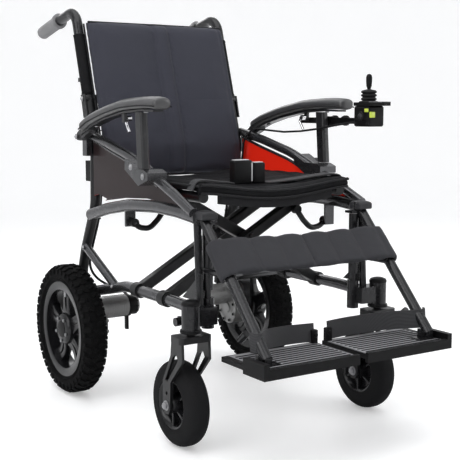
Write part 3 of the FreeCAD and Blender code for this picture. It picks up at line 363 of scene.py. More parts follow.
def curve_mesh(points, radius=0.0, resolution=8, ring=3):
    curve = bpy.data.curves.new("run", "CURVE")
    curve.dimensions = "3D"
    spline = curve.splines.new("NURBS")
    spline.points.add(len(points) - 1)
    for knot, point in zip(spline.points, points):
        knot.co = (*point, 1.0)
    spline.order_u = 3
    spline.use_endpoint_u = True
    curve.resolution_u = resolution
    curve.bevel_depth = radius
    curve.bevel_resolution = ring
    curve.use_fill_caps = radius > 0
    holder = bpy.data.objects.new("run", curve)
    mesh = bpy.data.meshes.new_from_object(holder)
    bpy.data.objects.remove(holder)
    return mesh


def swept(points, radius, resolution=8, ring=3):
    bm = bmesh.new()
    bm.from_mesh(curve_mesh(points, radius, resolution, ring))
    bmesh.ops.remove_doubles(bm, verts=bm.verts, dist=1e-6)
    bmesh.ops.recalc_face_normals(bm, faces=bm.faces)
    return bm


def ribbon(points, width, thickness, resolution=10, cuts=6):
    """A flat strap along a smooth line, as wide as the vector width."""
    bm = bmesh.new()
    line = [v.co.copy() for v in curve_mesh(points, 0.0, resolution).vertices]
    verts = [bm.verts.new(p - Vector(width) / 2) for p in line]
    edges = [bm.edges.new(pair) for pair in zip(verts, verts[1:])]
    for _ in range(cuts):
        made = bmesh.ops.extrude_edge_only(bm, edges=edges)["geom"]
        moved = [g for g in made if isinstance(g, bmesh.types.BMVert)]
        bmesh.ops.translate(bm, verts=moved, vec=Vector(width) / cuts)
        edges = [g for g in made if isinstance(g, bmesh.types.BMEdge) and all(v in moved for v in g.verts)]
    bmesh.ops.recalc_face_normals(bm, faces=bm.faces)
    bmesh.ops.solidify(bm, geom=bm.faces[:], thickness=thickness)
    return bm


def shaped_block(cuts, shape):
    """A closed block cut into a grid, each point moved to shape(u, v, w), all from 0 to 1."""
    bm = box((0, 0, 0), (1, 1, 1))
    for axis, count in zip((X, Y, Z), cuts):
        for step in range(1, count):
            geom = bm.verts[:] + bm.edges[:] + bm.faces[:]
            bmesh.ops.bisect_plane(bm, geom=geom, plane_co=axis * (step / count), plane_no=axis)
    for v in bm.verts:
        v.co = shape(*v.co)
    bmesh.ops.recalc_face_normals(bm, faces=bm.faces)
    return bm


def piece(name, bm, material, body, stands_for=(), sharp=0.7):
    """Turn a bmesh into a finished object that rides on its body; body may be left out for a blended piece."""
    for face in bm.faces:
        face.smooth = True
    for edge in bm.edges:
        edge.smooth = edge.calc_face_angle(0.0) < sharp
    mesh = bpy.data.meshes.new(name)
    bm.to_mesh(mesh)
    bm.free()
    obj = bpy.data.objects.new(name, mesh)
    scene.collection.objects.link(obj)
    obj.data.materials.append(material)
    if body:
        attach(obj, body)
    if stands_for:
        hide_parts(*stands_for)
    return obj


def smooth_steps(line, t):
    """A point on a smooth curve through (y, z) pairs, t from 0 to 1, and its direction."""
    span = t * (len(line) - 1)
    i = min(int(span), len(line) - 2)
    f = span - i
    p = [Vector(line[max(0, min(len(line) - 1, i + k))]) for k in (-1, 0, 1, 2)]
    m1, m2 = (p[2] - p[0]) / 2, (p[3] - p[1]) / 2
    point = ((2 * f ** 3 - 3 * f ** 2 + 1) * p[1] + (f ** 3 - 2 * f ** 2 + f) * m1
             + (3 * f ** 2 - 2 * f ** 3) * p[2] + (f ** 3 - f ** 2) * m2)
    along = ((6 * f ** 2 - 6 * f) * p[1] + (3 * f ** 2 - 4 * f + 1) * m1
             + (6 * f - 6 * f ** 2) * p[2] + (3 * f ** 2 - 2 * f) * m2)
    return point, along.normalized()


def applied(obj):
    """Put a piece's modifiers into its mesh."""
    depsgraph = bpy.context.evaluated_depsgraph_get()
    depsgraph.update()
    mesh = bpy.data.meshes.new_from_object(obj.evaluated_get(depsgraph), depsgraph=depsgraph)
    obj.modifiers.clear()
    obj.data = mesh
    return obj


def crease(p, scale, depth):
    """Fine uneven folds in cloth."""
    return depth * noise.fractal(p * scale, 0.9, 2.0, 3)


def puff(obj, held, cap, pressure=4.0, voxel=0.005, folds=0.0012):
    """Swell a cloth cover with air where it isn't held down, then keep the shape."""
    skin = obj.modifiers.new("skin", "REMESH")
    skin.mode = "VOXEL"
    skin.voxel_size = voxel
    applied(obj)
    start = [v.co.copy() for v in obj.data.vertices]
    group = obj.vertex_groups.new(name="held")
    for vertex in obj.data.vertices:
        weight = held(vertex.co)
        if weight > 0:
            group.add([vertex.index], weight, "REPLACE")
    air = obj.modifiers.new("air", "CLOTH")
    air.settings.quality = 4
    air.settings.mass = 0.3
    air.settings.tension_stiffness = 10
    air.settings.compression_stiffness = 10
    air.settings.shear_stiffness = 5
    air.settings.bending_stiffness = 0.3
    air.settings.use_pressure = True
    air.settings.uniform_pressure_force = pressure
    air.settings.vertex_group_mass = "held"
    air.settings.effector_weights.gravity = 0
    for step in range(1, 21):
        scene.frame_set(step)
    applied(obj)
    scene.frame_set(1)
    obj.vertex_groups.clear()
    for vertex, before in zip(obj.data.vertices, start):
        moved = vertex.co - before
        if moved.length > cap:
            vertex.co = before + moved.normalized() * cap
    for vertex in obj.data.vertices:
        vertex.co += vertex.normal * crease(vertex.co, 22.0, folds)
    fine = obj.modifiers.new("fine", "SUBSURF")
    fine.levels = 1
    fine.render_levels = 1
    applied(obj)
    for polygon in obj.data.polygons:
        polygon.use_smooth = True
    return obj


# ---------------------------------------------------------------- floor
BACKDROP_GLOW = 0.26


def stage_floor():
    """A pale floor that curves up into a plain surround."""
    bm = bmesh.new()
    rise = [(0.0, 0.0), (2.0, 0.0), (4.2, 0.0)]
    rise += [(4.2 + 2.2 * math.sin(a * math.pi / 16), 2.2 - 2.2 * math.cos(a * math.pi / 16)) for a in range(1, 9)]
    rise += [(6.4, 7.0)]
    verts = [bm.verts.new((r, 0, z)) for r, z in rise]
    edges = [bm.edges.new(pair) for pair in zip(verts, verts[1:])]
    bmesh.ops.spin(bm, geom=verts + edges, cent=(0, 0, 0), axis=(0, 0, 1), dvec=(0, 0, 0), angle=TURN, steps=96,
                   use_merge=True, use_duplicate=False)
    bmesh.ops.remove_doubles(bm, verts=bm.verts, dist=1e-5)
    bmesh.ops.recalc_face_normals(bm, faces=bm.faces)
    bmesh.ops.reverse_faces(bm, faces=bm.faces)
    for face in bm.faces:
        face.smooth = True
    mesh = bpy.data.meshes.new("floor")
    bm.to_mesh(mesh)
    bm.free()
    floor = bpy.data.objects.new("floor", mesh)
    floor.location = (0, 0, -0.0008)
    scene.collection.objects.link(floor)
    made = Finish("studio floor", (0.86, 0.86, 0.865), (0.89, 0.89, 0.893), 0.7, (0.35, 0.45),
                  Specular_IOR_Level=0.3, Emission_Color=(1, 1, 1, 1))
    seen = made.math("MULTIPLY", node(made.tree, "ShaderNodeLightPath").outputs["Is Camera Ray"], BACKDROP_GLOW)
    made.link(seen, made.shader.inputs["Emission Strength"])
    floor.data.materials.append(made.done())


stage_floor()


# ---------------------------------------------------------------- drive wheels
def tread_block(angle, across, radius, size, skew, lean):
    place = (Matrix.Rotation(angle, 4, "X") @ Matrix.Translation((across, 0, radius))
             @ Matrix.Rotation(lean, 4, "Y") @ Matrix.Rotation(skew, 4, "Z"))
    bm = bmesh.new()
    bmesh.ops.create_cube(bm, size=1.0, matrix=place @ Matrix.Diagonal((*size, 1.0)))
    return bevel_sharp(bm, 0.0012, 1)


TREADS = 40
TREAD_LEAN = 0.62


def drive_tyre(side):
    centre = middle("tyre_" + side)
    low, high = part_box("tyre_" + side)
    half, outer = (high.x - low.x) / 2, (high.z - low.z) / 2
    bead, crown = outer - 0.0455, outer - 0.0035
    profile = [(-half * 0.62, bead - 0.001), (-half * 0.86, bead + 0.006), (-half * 0.97, bead + 0.016),
               (-half * 0.98, outer - 0.021), (-half * 0.88, outer - 0.011), (-half * 0.6, crown - 0.001),
               (0, crown)]
    profile += [(-x, r) for x, r in reversed(profile[:-1])]
    bm = turned(profile, (0, 0, 0), X, 96)
    for ridge in (bead + 0.010, bead + 0.014):
        for face in (-1, 1):
            join(bm, turned([(face * half * 0.95 - 0.001, ridge), (face * half * 0.95, ridge - 0.0012),
                             (face * (half * 0.95 + 0.0016), ridge), (face * half * 0.95, ridge + 0.0012)],
                            (0, 0, 0), X, 96))
    half_pitch = TURN / TREADS / 2
    for k in range(TREADS):
        angle = TURN * k / TREADS
        for face in (1, -1):
            step = angle + (face > 0) * half_pitch
            join(bm, tread_block(step, face * 0.0075, crown, (0.013, 0.010, 0.0065), face * 0.5, 0))
        for face in (-1, 1):
            step = angle + (face > 0) * half_pitch
            shoulder, edge = outer - 0.0068, outer - 0.0165
            join(bm, tread_block(step, face * half * 0.73, shoulder, (0.014, 0.0125, 0.007), face * 0.2,
                                 face * TREAD_LEAN))
            join(bm, tread_block(step + half_pitch, face * half * 0.95, edge, (0.006, 0.009, 0.013), 0, 0))
    bm.transform(Matrix.Translation(centre))
    piece("drive_tyre_" + side, bm, TYRE, "wheel_" + side, ["tyre_" + side])


SPOKES = 5
SPOKE_BOW = 0.008
BOLT_CIRCLE = 0.029


def drive_rim(side, s):
    centre = middle("tyre_" + side)
    outer = (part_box("tyre_" + side)[1].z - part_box("tyre_" + side)[0].z) / 2
    seat, lip = outer - 0.0455, outer - 0.040
    opening = seat - 0.015
    ring = [(-0.022, opening), (-0.0235, opening + 0.003), (-0.0235, lip - 0.001), (-0.0215, lip + 0.001),
            (-0.0175, lip), (-0.0165, seat + 0.001), (0.0165, seat + 0.001), (0.0175, lip), (0.0215, lip + 0.001),
            (0.0235, lip - 0.001), (0.0235, opening + 0.003), (0.022, opening)]
    bm = turned(ring, (0, 0, 0), X, 96)
    join(bm, turned([(-0.024, 0), (-0.024, 0.030), (-0.021, 0.036), (-0.016, 0.0385), (0.016, 0.0385),
                     (0.021, 0.036), (0.0245, 0.030), (0.0245, 0.024), (0.0215, 0.022), (0.0215, 0)],
                    (0, 0, 0), X, 64))
    for k in range(SPOKES):
        turn = Matrix.Rotation(TURN * k / SPOKES, 4, "X")
        spoke = shaped_block((2, 4, 6), lambda u, v, w: Vector((
            (u - 0.5) * (0.026 - 0.008 * math.sin(math.pi * w)),
            (v - 0.5) * (0.030 + 0.012 * w * w + 0.010 * (1 - w) ** 3) + SPOKE_BOW * math.sin(math.pi * w),
            0.034 + w * (opening + 0.004 - 0.034))))
        bevel_sharp(spoke, 0.0035, 3, 0.8)
        spoke.transform(turn)
        join(bm, spoke)
        for face in (-1, 1):
            rib = shaped_block((1, 1, 8), lambda u, v, w: Vector((
                face * 0.0095 + (u - 0.5) * 0.0044, (v - 0.5) * 0.0056 + SPOKE_BOW * math.sin(math.pi * w),
                0.038 + w * (opening - 0.038))))
            rib.transform(turn)
            join(bm, rib)
    join(bm, rod((-s * 0.070, 0, 0), (0, 0, 0), 0.010, 32))
    bm.transform(Matrix.Translation(centre))
    piece("drive_rim_" + side, bm, RIM, "wheel_" + side, ["wheel_rim_" + side])
    trim = turned([(0.019, 0.0225), (0.0215, 0.0225), (0.0255, 0.020), (0.027, 0.013), (0.0275, 0)],
                  centre, X * s, 48)
    piece("hub_cap_" + side, trim, BLACK, "wheel_" + side)
    bolts = bmesh.new()
    for k in range(SPOKES):
        angle = TURN * (k + 0.5) / SPOKES
        spot = centre + Vector((s * 0.0245, BOLT_CIRCLE * math.sin(angle), BOLT_CIRCLE * math.cos(angle)))
        join(bolts, rod(spot, spot + X * s * 0.003, 0.0042, 6, 0.0005))
    valve = centre + Vector((s * 0.012, 0, opening - 0.018))
    join(bolts, rod(valve, valve + Z * 0.020, 0.0032, 14, 0.0006))
    piece("hub_bolts_" + side, bolts, STEEL, "wheel_" + side)


# ---------------------------------------------------------------- casters
CASTER_BEAD = 0.052
CASTER_RIBS = 6


def caster(side, s):
    low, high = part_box("caster_tyre_" + side)
    centre, half, outer = (low + high) / 2, (high.x - low.x) / 2, (high.z - low.z) / 2
    inner = CASTER_BEAD
    profile = []
    for k in range(25):
        a = math.pi * (k / 24) - math.pi / 2
        bulge = math.copysign(abs(math.sin(a)) ** 0.75, math.sin(a))
        swell = inner + 0.001 + (outer - inner - 0.001) * max(0.0, math.cos(a)) ** 0.55
        profile.append((half * bulge, swell if abs(a) < 1.5 else inner))
    bm = turned(profile, (0, 0, 0), X, 96)
    for across in (-0.0055, 0.0055):
        low_r, high_r = outer - 0.0022, outer - 0.0001
        join(bm, turned([(across - 0.0012, low_r), (across, high_r), (across + 0.0012, low_r)], (0, 0, 0), X, 96))
    bm.transform(Matrix.Translation(centre))
    piece("front_tyre_" + side, bm, CASTER, "caster_" + side, ["caster_tyre_" + side])
    rim = [(-0.0225, inner - 0.004), (-0.0235, inner - 0.001), (-0.022, inner + 0.0015), (0.022, inner + 0.0015),
           (0.0235, inner - 0.001), (0.0225, inner - 0.004), (0.018, inner - 0.008), (0.008, inner - 0.011),
           (0.007, 0.021), (0.020, 0.018), (0.0265, 0.016), (0.0265, 0.0052), (-0.0265, 0.0052), (-0.0265, 0.016),
           (-0.020, 0.018), (-0.007, 0.021), (-0.008, inner - 0.011), (-0.018, inner - 0.008)]
    wheel = turned(rim, (0, 0, 0), X, 72)
    for k in range(CASTER_RIBS):
        for face in (-1, 1):
            x = face * 0.0135
            rib = box((x - 0.006, -0.0028, 0.019), (x + 0.006, 0.0028, inner - 0.006), 0.0012)
            rib.transform(Matrix.Rotation(TURN * k / CASTER_RIBS, 4, "X"))
            join(wheel, rib)
    wheel.transform(Matrix.Translation(centre))
    piece("front_rim_" + side, wheel, RIM, "caster_" + side, ["caster_rim_" + side])
    nuts = bmesh.new()
    for face in (-1, 1):
        start = centre + X * face * 0.034
        join(nuts, rod(start, start + X * face * 0.0014, 0.0105, 24, 0.0003))
        join(nuts, rod(start + X * face * 0.001, start + X * face * 0.0065, 0.0078, 6, 0.0007))
        join(nuts, rod(start, start + X * face * 0.0085, 0.0048, 16, 0.0008))
    piece("caster_nuts_" + side, nuts, STEEL, "fork_" + side)
    top = mm(s * 246, -535, 300)
    dome = turned([(0.0, 0.0195), (0.004, 0.0195), (0.008, 0.017), (0.0105, 0.010), (0.0115, 0)],
                  top - Z * 0.0005, Z, 40)
    join(dome, turned([(0.0, 0.0192), (0.0, 0.0222), (0.003, 0.0226), (0.006, 0.0215), (0.006, 0.0192)],
                      mm(s * 246, -535, 244), Z, 40))
    piece("bearing_caps_" + side, dome, BLACK, FRAME_OF[side])


for side, s in SIDES:
    drive_tyre(side)
    drive_rim(side, s)
    caster(side, s)


# ---------------------------------------------------------------- seat
SEAT_EDGE = 0.537
SEAT_SAG = 0.018
SEAT_HALF = 0.19
SEAT_WIDTH = 0.394
FRONT_SEAM = 0.044


def seat_height(x):
    """Height of the seat's top over its width: it hangs between the two rails."""
    return SEAT_EDGE - SEAT_SAG * max(0.0, math.cos(math.pi * min(abs(x), SEAT_HALF) / (2 * SEAT_HALF))) ** 1.4


def seat():
    low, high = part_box("seat_pad")

    def shape(u, v, w):
        x = (u - 0.5) * SEAT_WIDTH
        y = low.y + 0.004 + v * (high.y - low.y - 0.006)
        rim = math.exp(-(v / 0.05) ** 2)
        edge = min(1.0, min(u, 1 - u) / 0.04)
        round_off = math.sqrt(max(0.0, 1 - (1 - edge) ** 2))
        thick = 0.017 + 0.004 * rim
        top = seat_height(x) - 0.003 * (1 - round_off) - 0.002 * math.exp(-((v - 0.095) / 0.025) ** 2)
        base = top - thick if v > 0.02 else top - thick - 0.004
        if abs(x) > 0.162 and v > 0.02:
            base = max(base, 0.5185)
        y -= 0.006 * rim * math.sin(math.pi * w)
        return Vector((x, y, base + (top - base) * w))

    obj = piece("seat_cushion", shaped_block((44, 44, 3), shape), SEAT, None, ["seat_pad"])

    def held(p):
        if abs(p.x) > 0.160 and p.z < 0.5225:
            return 1.0
        seam = abs(p.y - (low.y + FRONT_SEAM))
        return max(0.0, 1.0 - seam / 0.006, 1.0 - abs(abs(p.x) - 0.168) / 0.005)

    puff(obj, held, 0.006, 3.0, 0.005, 0.0016)
    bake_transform(obj)
    binding = bmesh.new()
    for y, drop in ((low.y - 0.004, 0.004), (low.y - 0.003, 0.021)):
        line = [Vector((x / 1000, y, seat_height(x / 1000) - drop)) for x in range(-192, 193, 24)]
        join(binding, swept(line, 0.0026, 6, 2))
    line = [Vector((x / 1000, low.y + 0.001, seat_height(x / 1000) - 0.030)) for x in range(-150, 151, 25)]
    join(binding, ribbon(line, (0, 0, 0.022), 0.0022))
    for x in (-0.1965, 0.1965):
        line = [Vector((x, low.y + t * (high.y - low.y) / 6, SEAT_EDGE - 0.006)) for t in range(7)]
        join(binding, swept(line, 0.0026, 4, 2))
    edge = piece("seat_piping", binding, PIPING, None)
    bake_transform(edge)
    stitches = bmesh.new()
    for x in range(-150, 151, 6):
        spot = Vector((x / 1000, low.y + FRONT_SEAM, seat_height(x / 1000) + 0.0003))
        join(stitches, box(spot - Vector((0.0019, 0.0005, 0.0006)), spot + Vector((0.0019, 0.0005, 0.0006))))
    thread = piece("seat_stitches", stitches, THREAD, None)
    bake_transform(thread)


BELT_LINE = ((-204, -462, 522), (-198, -460, 538))
BELT_ACROSS = ((-176, -450), (-148, -436), (-118, -422), (-88, -409), (-60, -401))


def lap_belt():
    def lying(x, y):
        return mm(x, y, seat_height(x / 1000) * 1000 + 7)

    line = [mm(*p) for p in BELT_LINE] + [lying(x, y) for x, y in BELT_ACROSS]
    strap = ribbon(line, (0.010, 0.038, 0), 0.0024)
    line = [lying(x, -400 - (x - 24) * 0.25) for x in range(24, 190, 20)]
    line += [mm(198, -444, 538), mm(204, -446, 522)]
    join(strap, ribbon(line, (0, 0.036, 0), 0.0024))
    belt = piece("lap_belt_webbing", strap, WEBBING, None, ["lap_belt"])
    z = seat_height(-0.02) * 1000 + 5
    body = merged(box(mm(-60, -413, z), mm(-14, -388, z + 52), 0.004, 3),
                  box(mm(-10, -411, z), mm(22, -390, z + 46), 0.004, 3),
                  box(mm(-16, -408, z + 8), mm(-8, -393, z + 40), 0.001, 1))
    buckle = piece("belt_buckle", body, BLACK, None)
    # light grey strips over the buckle's top faces and along one upright edge: a painted highlight, not the black
    # buckle's own colour
    buckle_painted_highlight = merged(box(mm(-56, -408, z + 51), mm(-20, -393, z + 53.2), 0.0008, 2),
                    box(mm(-6, -407, z + 45), mm(18, -394, z + 47.2), 0.0008, 2),
                    box(mm(-17, -414, z + 6), mm(-14.6, -409, z + 46), 0.0006, 2))
    mark = piece("buckle_painted_highlights", buckle_painted_highlight, WHITE, None)
    for made in (belt, buckle, mark):
        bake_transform(made)


# ---------------------------------------------------------------- back
def back_line(z):
    """Depth of the canes' centre line at height z, taken from the upper back solid."""
    low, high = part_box("back_upper")
    reach = high.z - low.z
    lean = ((high.y - low.y) - 0.035) / reach
    return high.y + 0.017 - lean * (high.z - z)


GROOVE = 0.0215
BORDER = 0.176
BACK_WIDTH = 0.386
CANE_X = 0.204
SPARE = 0.014               # cloth past the split, swelled with the rest and then cut off


def cover_line(z):
    """Depth of the canes' line, with the uprights' straight stretch below it."""
    return max(back_line(z), mm(0, -20, 0).y)


def back_depth(x, z, z_low, z_high, soft_ends):
    """How far the cover stands in front of its base: two wide panels and a raised roll between."""
    a = abs(x)
    if a < GROOVE:
        height = 0.030 + 0.007 * math.sqrt(max(0.0, 1 - (a / GROOVE) ** 2))
    else:
        t = (a - GROOVE) / (BORDER - GROOVE)
        dome = max(0.0, min(1.0, t) * (1 - min(1.0, t)) * 4) ** 0.35
        height = 0.024 + 0.010 * dome if a < BORDER else 0.0235
    height -= 0.014 * math.exp(-((a - GROOVE) / 0.0035) ** 2)
    height -= 0.006 * math.exp(-((a - BORDER) / 0.003) ** 2)
    for end, soft in zip((z - z_low, z_high - z), soft_ends):
        if soft:
            height *= 0.55 + 0.45 * math.sqrt(max(0.0, 1 - (1 - min(1.0, end / 0.022)) ** 2))
    return height


def back_cushion(name, z_low, z_high, soft_ends, body, stands_for):
    def shape(u, v, w):
        x = (u - 0.5) * BACK_WIDTH
        z = z_low + v * (z_high - z_low)
        side = math.sqrt(max(0.0, 1 - (1 - min(1.0, min(u, 1 - u) / 0.025)) ** 2))
        depth = back_depth(x, z, z_low, z_high, soft_ends) * (0.5 + 0.5 * side)
        base = cover_line(z) - 0.0175
        return Vector((x, base - depth * w, z))

    cut_low = None if soft_ends[0] else z_low
    cut_high = None if soft_ends[1] else z_high
    z_low -= SPARE if cut_low else 0
    z_high += SPARE if cut_high else 0
    obj = piece(name, shaped_block((96, 36, 2), shape), BACK, None, stands_for)

    def held(p):
        a = abs(p.x)
        depth = cover_line(p.z) - 0.0175 - p.y
        if depth < 0.004:
            return 1.0
        near = min(abs(a - GROOVE) / 0.005, abs(a - BORDER) / 0.005)
        ends = min(p.z - z_low if not soft_ends[0] else 1, z_high - p.z if not soft_ends[1] else 1)
        return max(0.0, 1.0 - near, 1.0 - ends / 0.006)

    puff(obj, held, 0.005, 3.0, 0.005, 0.0008)
    trimmed = bmesh.new()
    trimmed.from_mesh(obj.data)
    for level, outward in ((cut_low, -Z), (cut_high, Z)):
        if level:
            made = bmesh.ops.bisect_plane(trimmed, geom=trimmed.verts[:] + trimmed.edges[:] + trimmed.faces[:],
                                          plane_co=(0, 0, level), plane_no=outward, clear_outer=True)
            rim = [g for g in made["geom_cut"] if isinstance(g, bmesh.types.BMEdge)]
            bmesh.ops.holes_fill(trimmed, edges=rim, sides=0)
    trimmed.to_mesh(obj.data)
    trimmed.free()
    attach(obj, body)
    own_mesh(obj)
    return obj


def back():
    low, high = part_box("back_lower")
    split = high.z
    hem = low.z - 0.012
    back_cushion("back_cushion_lower", hem, split + 0.0011, (True, False), "root", ["back_lower"])
    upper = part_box("back_upper")
    back_cushion("back_cushion_upper", upper[0].z - 0.0011, upper[1].z - 0.002, (False, True), "cane_right",
                 ["back_upper"])
    for name, z0, z1, body in (("lower", hem + 0.002, split, "root"),
                               ("upper", upper[0].z, upper[1].z - 0.006, "cane_right")):
        binding = bmesh.new()
        for x in (-0.194, -0.1905, 0.1905, 0.194):
            reach = 0.010 if abs(x) > 0.192 else 0.036
            line = []
            for k in range(9):
                z = z0 + (z1 - z0) * k / 8
                line.append(Vector((x, cover_line(z) - 0.0095 - reach * 0.45, z)))
            join(binding, swept(line, 0.0024, 4, 2))
        end_z = z0 if name == "lower" else z1
        line = []
        for x in range(-190, 191, 10):
            depth = 0.012 + 0.004 * (abs(x) < 20)
            y = cover_line(end_z) - 0.0175 - depth
            line.append(Vector((x / 1000, y, end_z + (0.004 if name == "upper" else -0.004))))
        join(binding, swept(line, 0.0026, 4, 2))
        edge = piece("back_piping_" + name, binding, PIPING, None)
        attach(edge, body)
        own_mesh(edge)
    for side, s in SIDES:
        line = [Vector((s * CANE_X, back_line(z / 1000), z / 1000)) for z in (724, 760, 800, 840, 866)]
        sleeve = swept(line, 0.0143, 4, 6)
        for z in (725, 865):
            spot = Vector((s * CANE_X, back_line(z / 1000), z / 1000))
            join(sleeve, turned([(-0.0016, 0.0138), (-0.0014, 0.0152), (0.0014, 0.0152), (0.0016, 0.0138)],
                                spot, Z, 40))
        piece("cane_sleeve_" + side, sleeve, SEAT, "cane_" + side)


# ---------------------------------------------------------------- calf strap
STRAP_TOP = (-516.0, 468.0)
STRAP_FOOT = (-741.0, 226.0)
STRAP_PANELS = 6
STRAP_FLAT = 0.196          # half the width that lies flat across the front


def calf_strap():
    dy, dz = STRAP_FOOT[0] - STRAP_TOP[0], STRAP_FOOT[1] - STRAP_TOP[1]
    length = math.hypot(dy, dz)
    along = Vector((0, dy, dz)) / length
    out = Vector((0, dz, -dy)) / length
    start = mm(0, *STRAP_TOP)
    tube, wrap, reach = 0.205, 0.0175, 0.246

    def shape(u, v, w):
        s_ = (u - 0.5) * 2 * reach
        side = math.copysign(1.0, s_)
        run = abs(s_)
        part = (s_ / (2 * STRAP_FLAT) + 0.5) * STRAP_PANELS
        puffy = abs(math.sin(math.pi * part)) ** 0.4 if run < STRAP_FLAT else 0.35
        ends = math.sqrt(max(0.0, 1 - (1 - min(1.0, min(v, 1 - v) / 0.10)) ** 2))
        thick = 0.004 + 0.0095 * puffy * (0.35 + 0.65 * ends)
        sag = 0.006 * (1 - (min(run, tube) / tube) ** 2)
        down = 0.063 + v * 0.086 + 0.004 * (0.5 - v) * math.cos(math.pi * part) ** 4 * (run < 0.2)
        if run <= tube:
            x, lift = s_, 0.0135 + thick * w - sag
        else:
            angle = (run - tube) / wrap
            radius = 0.0135 + thick * w
            x, lift = side * (tube + radius * math.sin(angle)), radius * math.cos(angle)
        return start + along * down + out * lift + X * x

    obj = piece("calf_strap_pad", shaped_block((150, 22, 2), shape), STRAP, None, ["calf_strap"])

    def held(p):
        flat = abs(p.x)
        lift = (p - start).dot(out)
        if flat > 0.186 or lift < 0.012:
            return 1.0
        part = (p.x / (2 * STRAP_FLAT) + 0.5) * STRAP_PANELS
        return max(0.0, 1.0 - abs(part - round(part)) * 0.0653 / 0.004)

    puff(obj, held, 0.004, 3.0, 0.004, 0.0009)
    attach(obj, "root")
    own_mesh(obj)
    threads = bmesh.new()
    for k in range(1, STRAP_PANELS):
        x = (k / STRAP_PANELS - 0.5) * 2 * STRAP_FLAT
        sag = 0.006 * (1 - (abs(x) / tube) ** 2)
        for step in range(15):
            spot = start + along * (0.0665 + step * 0.0057) + out * (0.0135 + 0.0046 - sag) + X * x
            join(threads, rod(spot - along * 0.0018, spot + along * 0.0018, 0.0006, 6))
    thread = piece("calf_strap_stitches", threads, THREAD, None)
    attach(thread, "root")
    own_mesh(thread)


def heel_loops(side, s):
    line = [mm(s * 222, -708, 254), mm(s * 216, -722, 255), mm(s * 205, -724, 254), mm(s * 190, -708, 251),
            mm(s * 160, -672, 246), mm(s * 110, -646, 240), mm(s * 60, -636, 237), mm(s * 18, -641, 236)]
    band = ribbon(line, (0, 0.004, 0.038), 0.003)
    loop = piece("heel_loop_" + side, band, WEBBING, None, ["heel_strap_" + side])
    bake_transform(loop)
    tab = box(mm(s * 11, -646, 205), mm(s * 26, -634, 242), 0.002)
    join(tab, rod(mm(s * 18, -646, 232), mm(s * 18, -649, 232), 0.005, 16, 0.001))
    piece("heel_loop_anchor_" + side, tab, BLACK, "plate_" + side)


seat()
lap_belt()
back()
calf_strap()
for side, s in SIDES:
    heel_loops(side, s)


# ---------------------------------------------------------------- arms
PAD_LINE = ((-50.0, 643.5), (-80.0, 656.0), (-112.0, 666.0), (-178.0, 681.0), (-226.0, 689.0), (-268.0, 695.0),
            (-350.0, 699.0), (-400.0, 698.5), (-424.0, 696.5))

PAD_REACH = (PAD_LINE[0][0] - PAD_LINE[-1][0]) / 1000


def arm_pad(side):
    low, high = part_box("arm_pad_" + side)
    centre = (low.x + high.x) / 2
    half_width = (high.x - low.x) / 2

    def shape(u, v, w):
        (y, z), along = smooth_steps(PAD_LINE, u)
        up = Vector((0, -along.y, along.x)) * (-1 if along.x < 0 else 1)
        a, b = 2 * v - 1, 2 * w - 1
        end = min(u, 1 - u) / 0.045
        close = math.sqrt(max(0.0, 1 - (1 - min(1.0, end)) ** 2)) * 0.55 + 0.45
        wide = half_width * a * math.sqrt(max(0.0, 1 - 0.30 * b * b)) * close
        tall = 0.0125 * b * math.sqrt(max(0.0, 1 - 0.45 * a * a)) * (0.75 + 0.25 * close)
        if b > 0:
            tall += 0.0015 * (1 - a * a)
        return mm(0, y, z) + X * (centre + wide) + up * tall

    obj = piece("arm_cushion_" + side, shaped_block((60, 10, 6), shape), PAD, None,
                ["arm_pad_" + side])

    def held(p):
        t = min(1.0, max(0.0, (mm(0, PAD_LINE[0][0], 0).y - p.y) / PAD_REACH))
        z = smooth_steps(PAD_LINE, t)[0][1]
        return 1.0 if p.z < z / 1000 - 0.003 else 0.0

    puff(obj, held, 0.002, 2.0, 0.004, 0.0003)
    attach(obj, "arm_" + side)
    seam = bmesh.new()
    for face in (-1, 1):
        line = []
        for k in range(25):
            (y, z), _ = smooth_steps(PAD_LINE, 0.03 + 0.94 * k / 24)
            line.append(mm(0, y, z - 5.5) + X * (centre + face * (half_width + 0.0004)))
        join(seam, swept(line, 0.0016, 4, 2))
    piece("arm_seam_" + side, seam, PIPING, "arm_" + side)
    screws = bmesh.new()
    for t in (0.25, 0.75):
        (y, z), _ = smooth_steps(PAD_LINE, t)
        spot = mm(0, y, z - 17.2) + X * centre
        join(screws, rod(spot, spot - Z * 0.003, 0.005, 18, 0.0012))
    piece("pad_screws_" + side, screws, STEEL, "arm_" + side)


HANDLE_ALONG = Vector((0, 0.97779, -0.20953))
GRIP_LENGTH = 0.118
GRIP_RIBS = 28


def push_grip(side, s):
    end = HANDLE_ALONG
    start = mm(s * 204, 292, 885) - end * GRIP_LENGTH
    bm = turned([(0, 0.0128), (0, 0.0185), (0.001, 0.0195), (0.0035, 0.0195), (0.0045, 0.0180), (0.0055, 0.0195),
                 (0.0085, 0.0195), (0.0095, 0.0165), (0.0115, 0.0152), (0.020, 0.0154), (0.026, 0.0165),
                 (0.032, 0.0157), (0.045, 0.0163), (0.052, 0.0155), (0.065, 0.0163), (0.072, 0.0155), (0.085, 0.0163),
                 (0.092, 0.0157), (0.106, 0.0165), (0.1115, 0.0165), (0.116, 0.0145), (0.118, 0.0105), (0.118, 0)],
                start, end, 56)
    for k in range(GRIP_RIBS):
        spin = Matrix.Rotation(TURN * k / GRIP_RIBS, 4, end)
        across = spin @ X
        rib_start = start + end * 0.036 + across * 0.0158
        join(bm, rod(rib_start, rib_start + end * 0.062, 0.0007, 6))
    piece("push_grip_sleeve_" + side, bm, GRIP, "cane_" + side, ["push_grip_" + side])


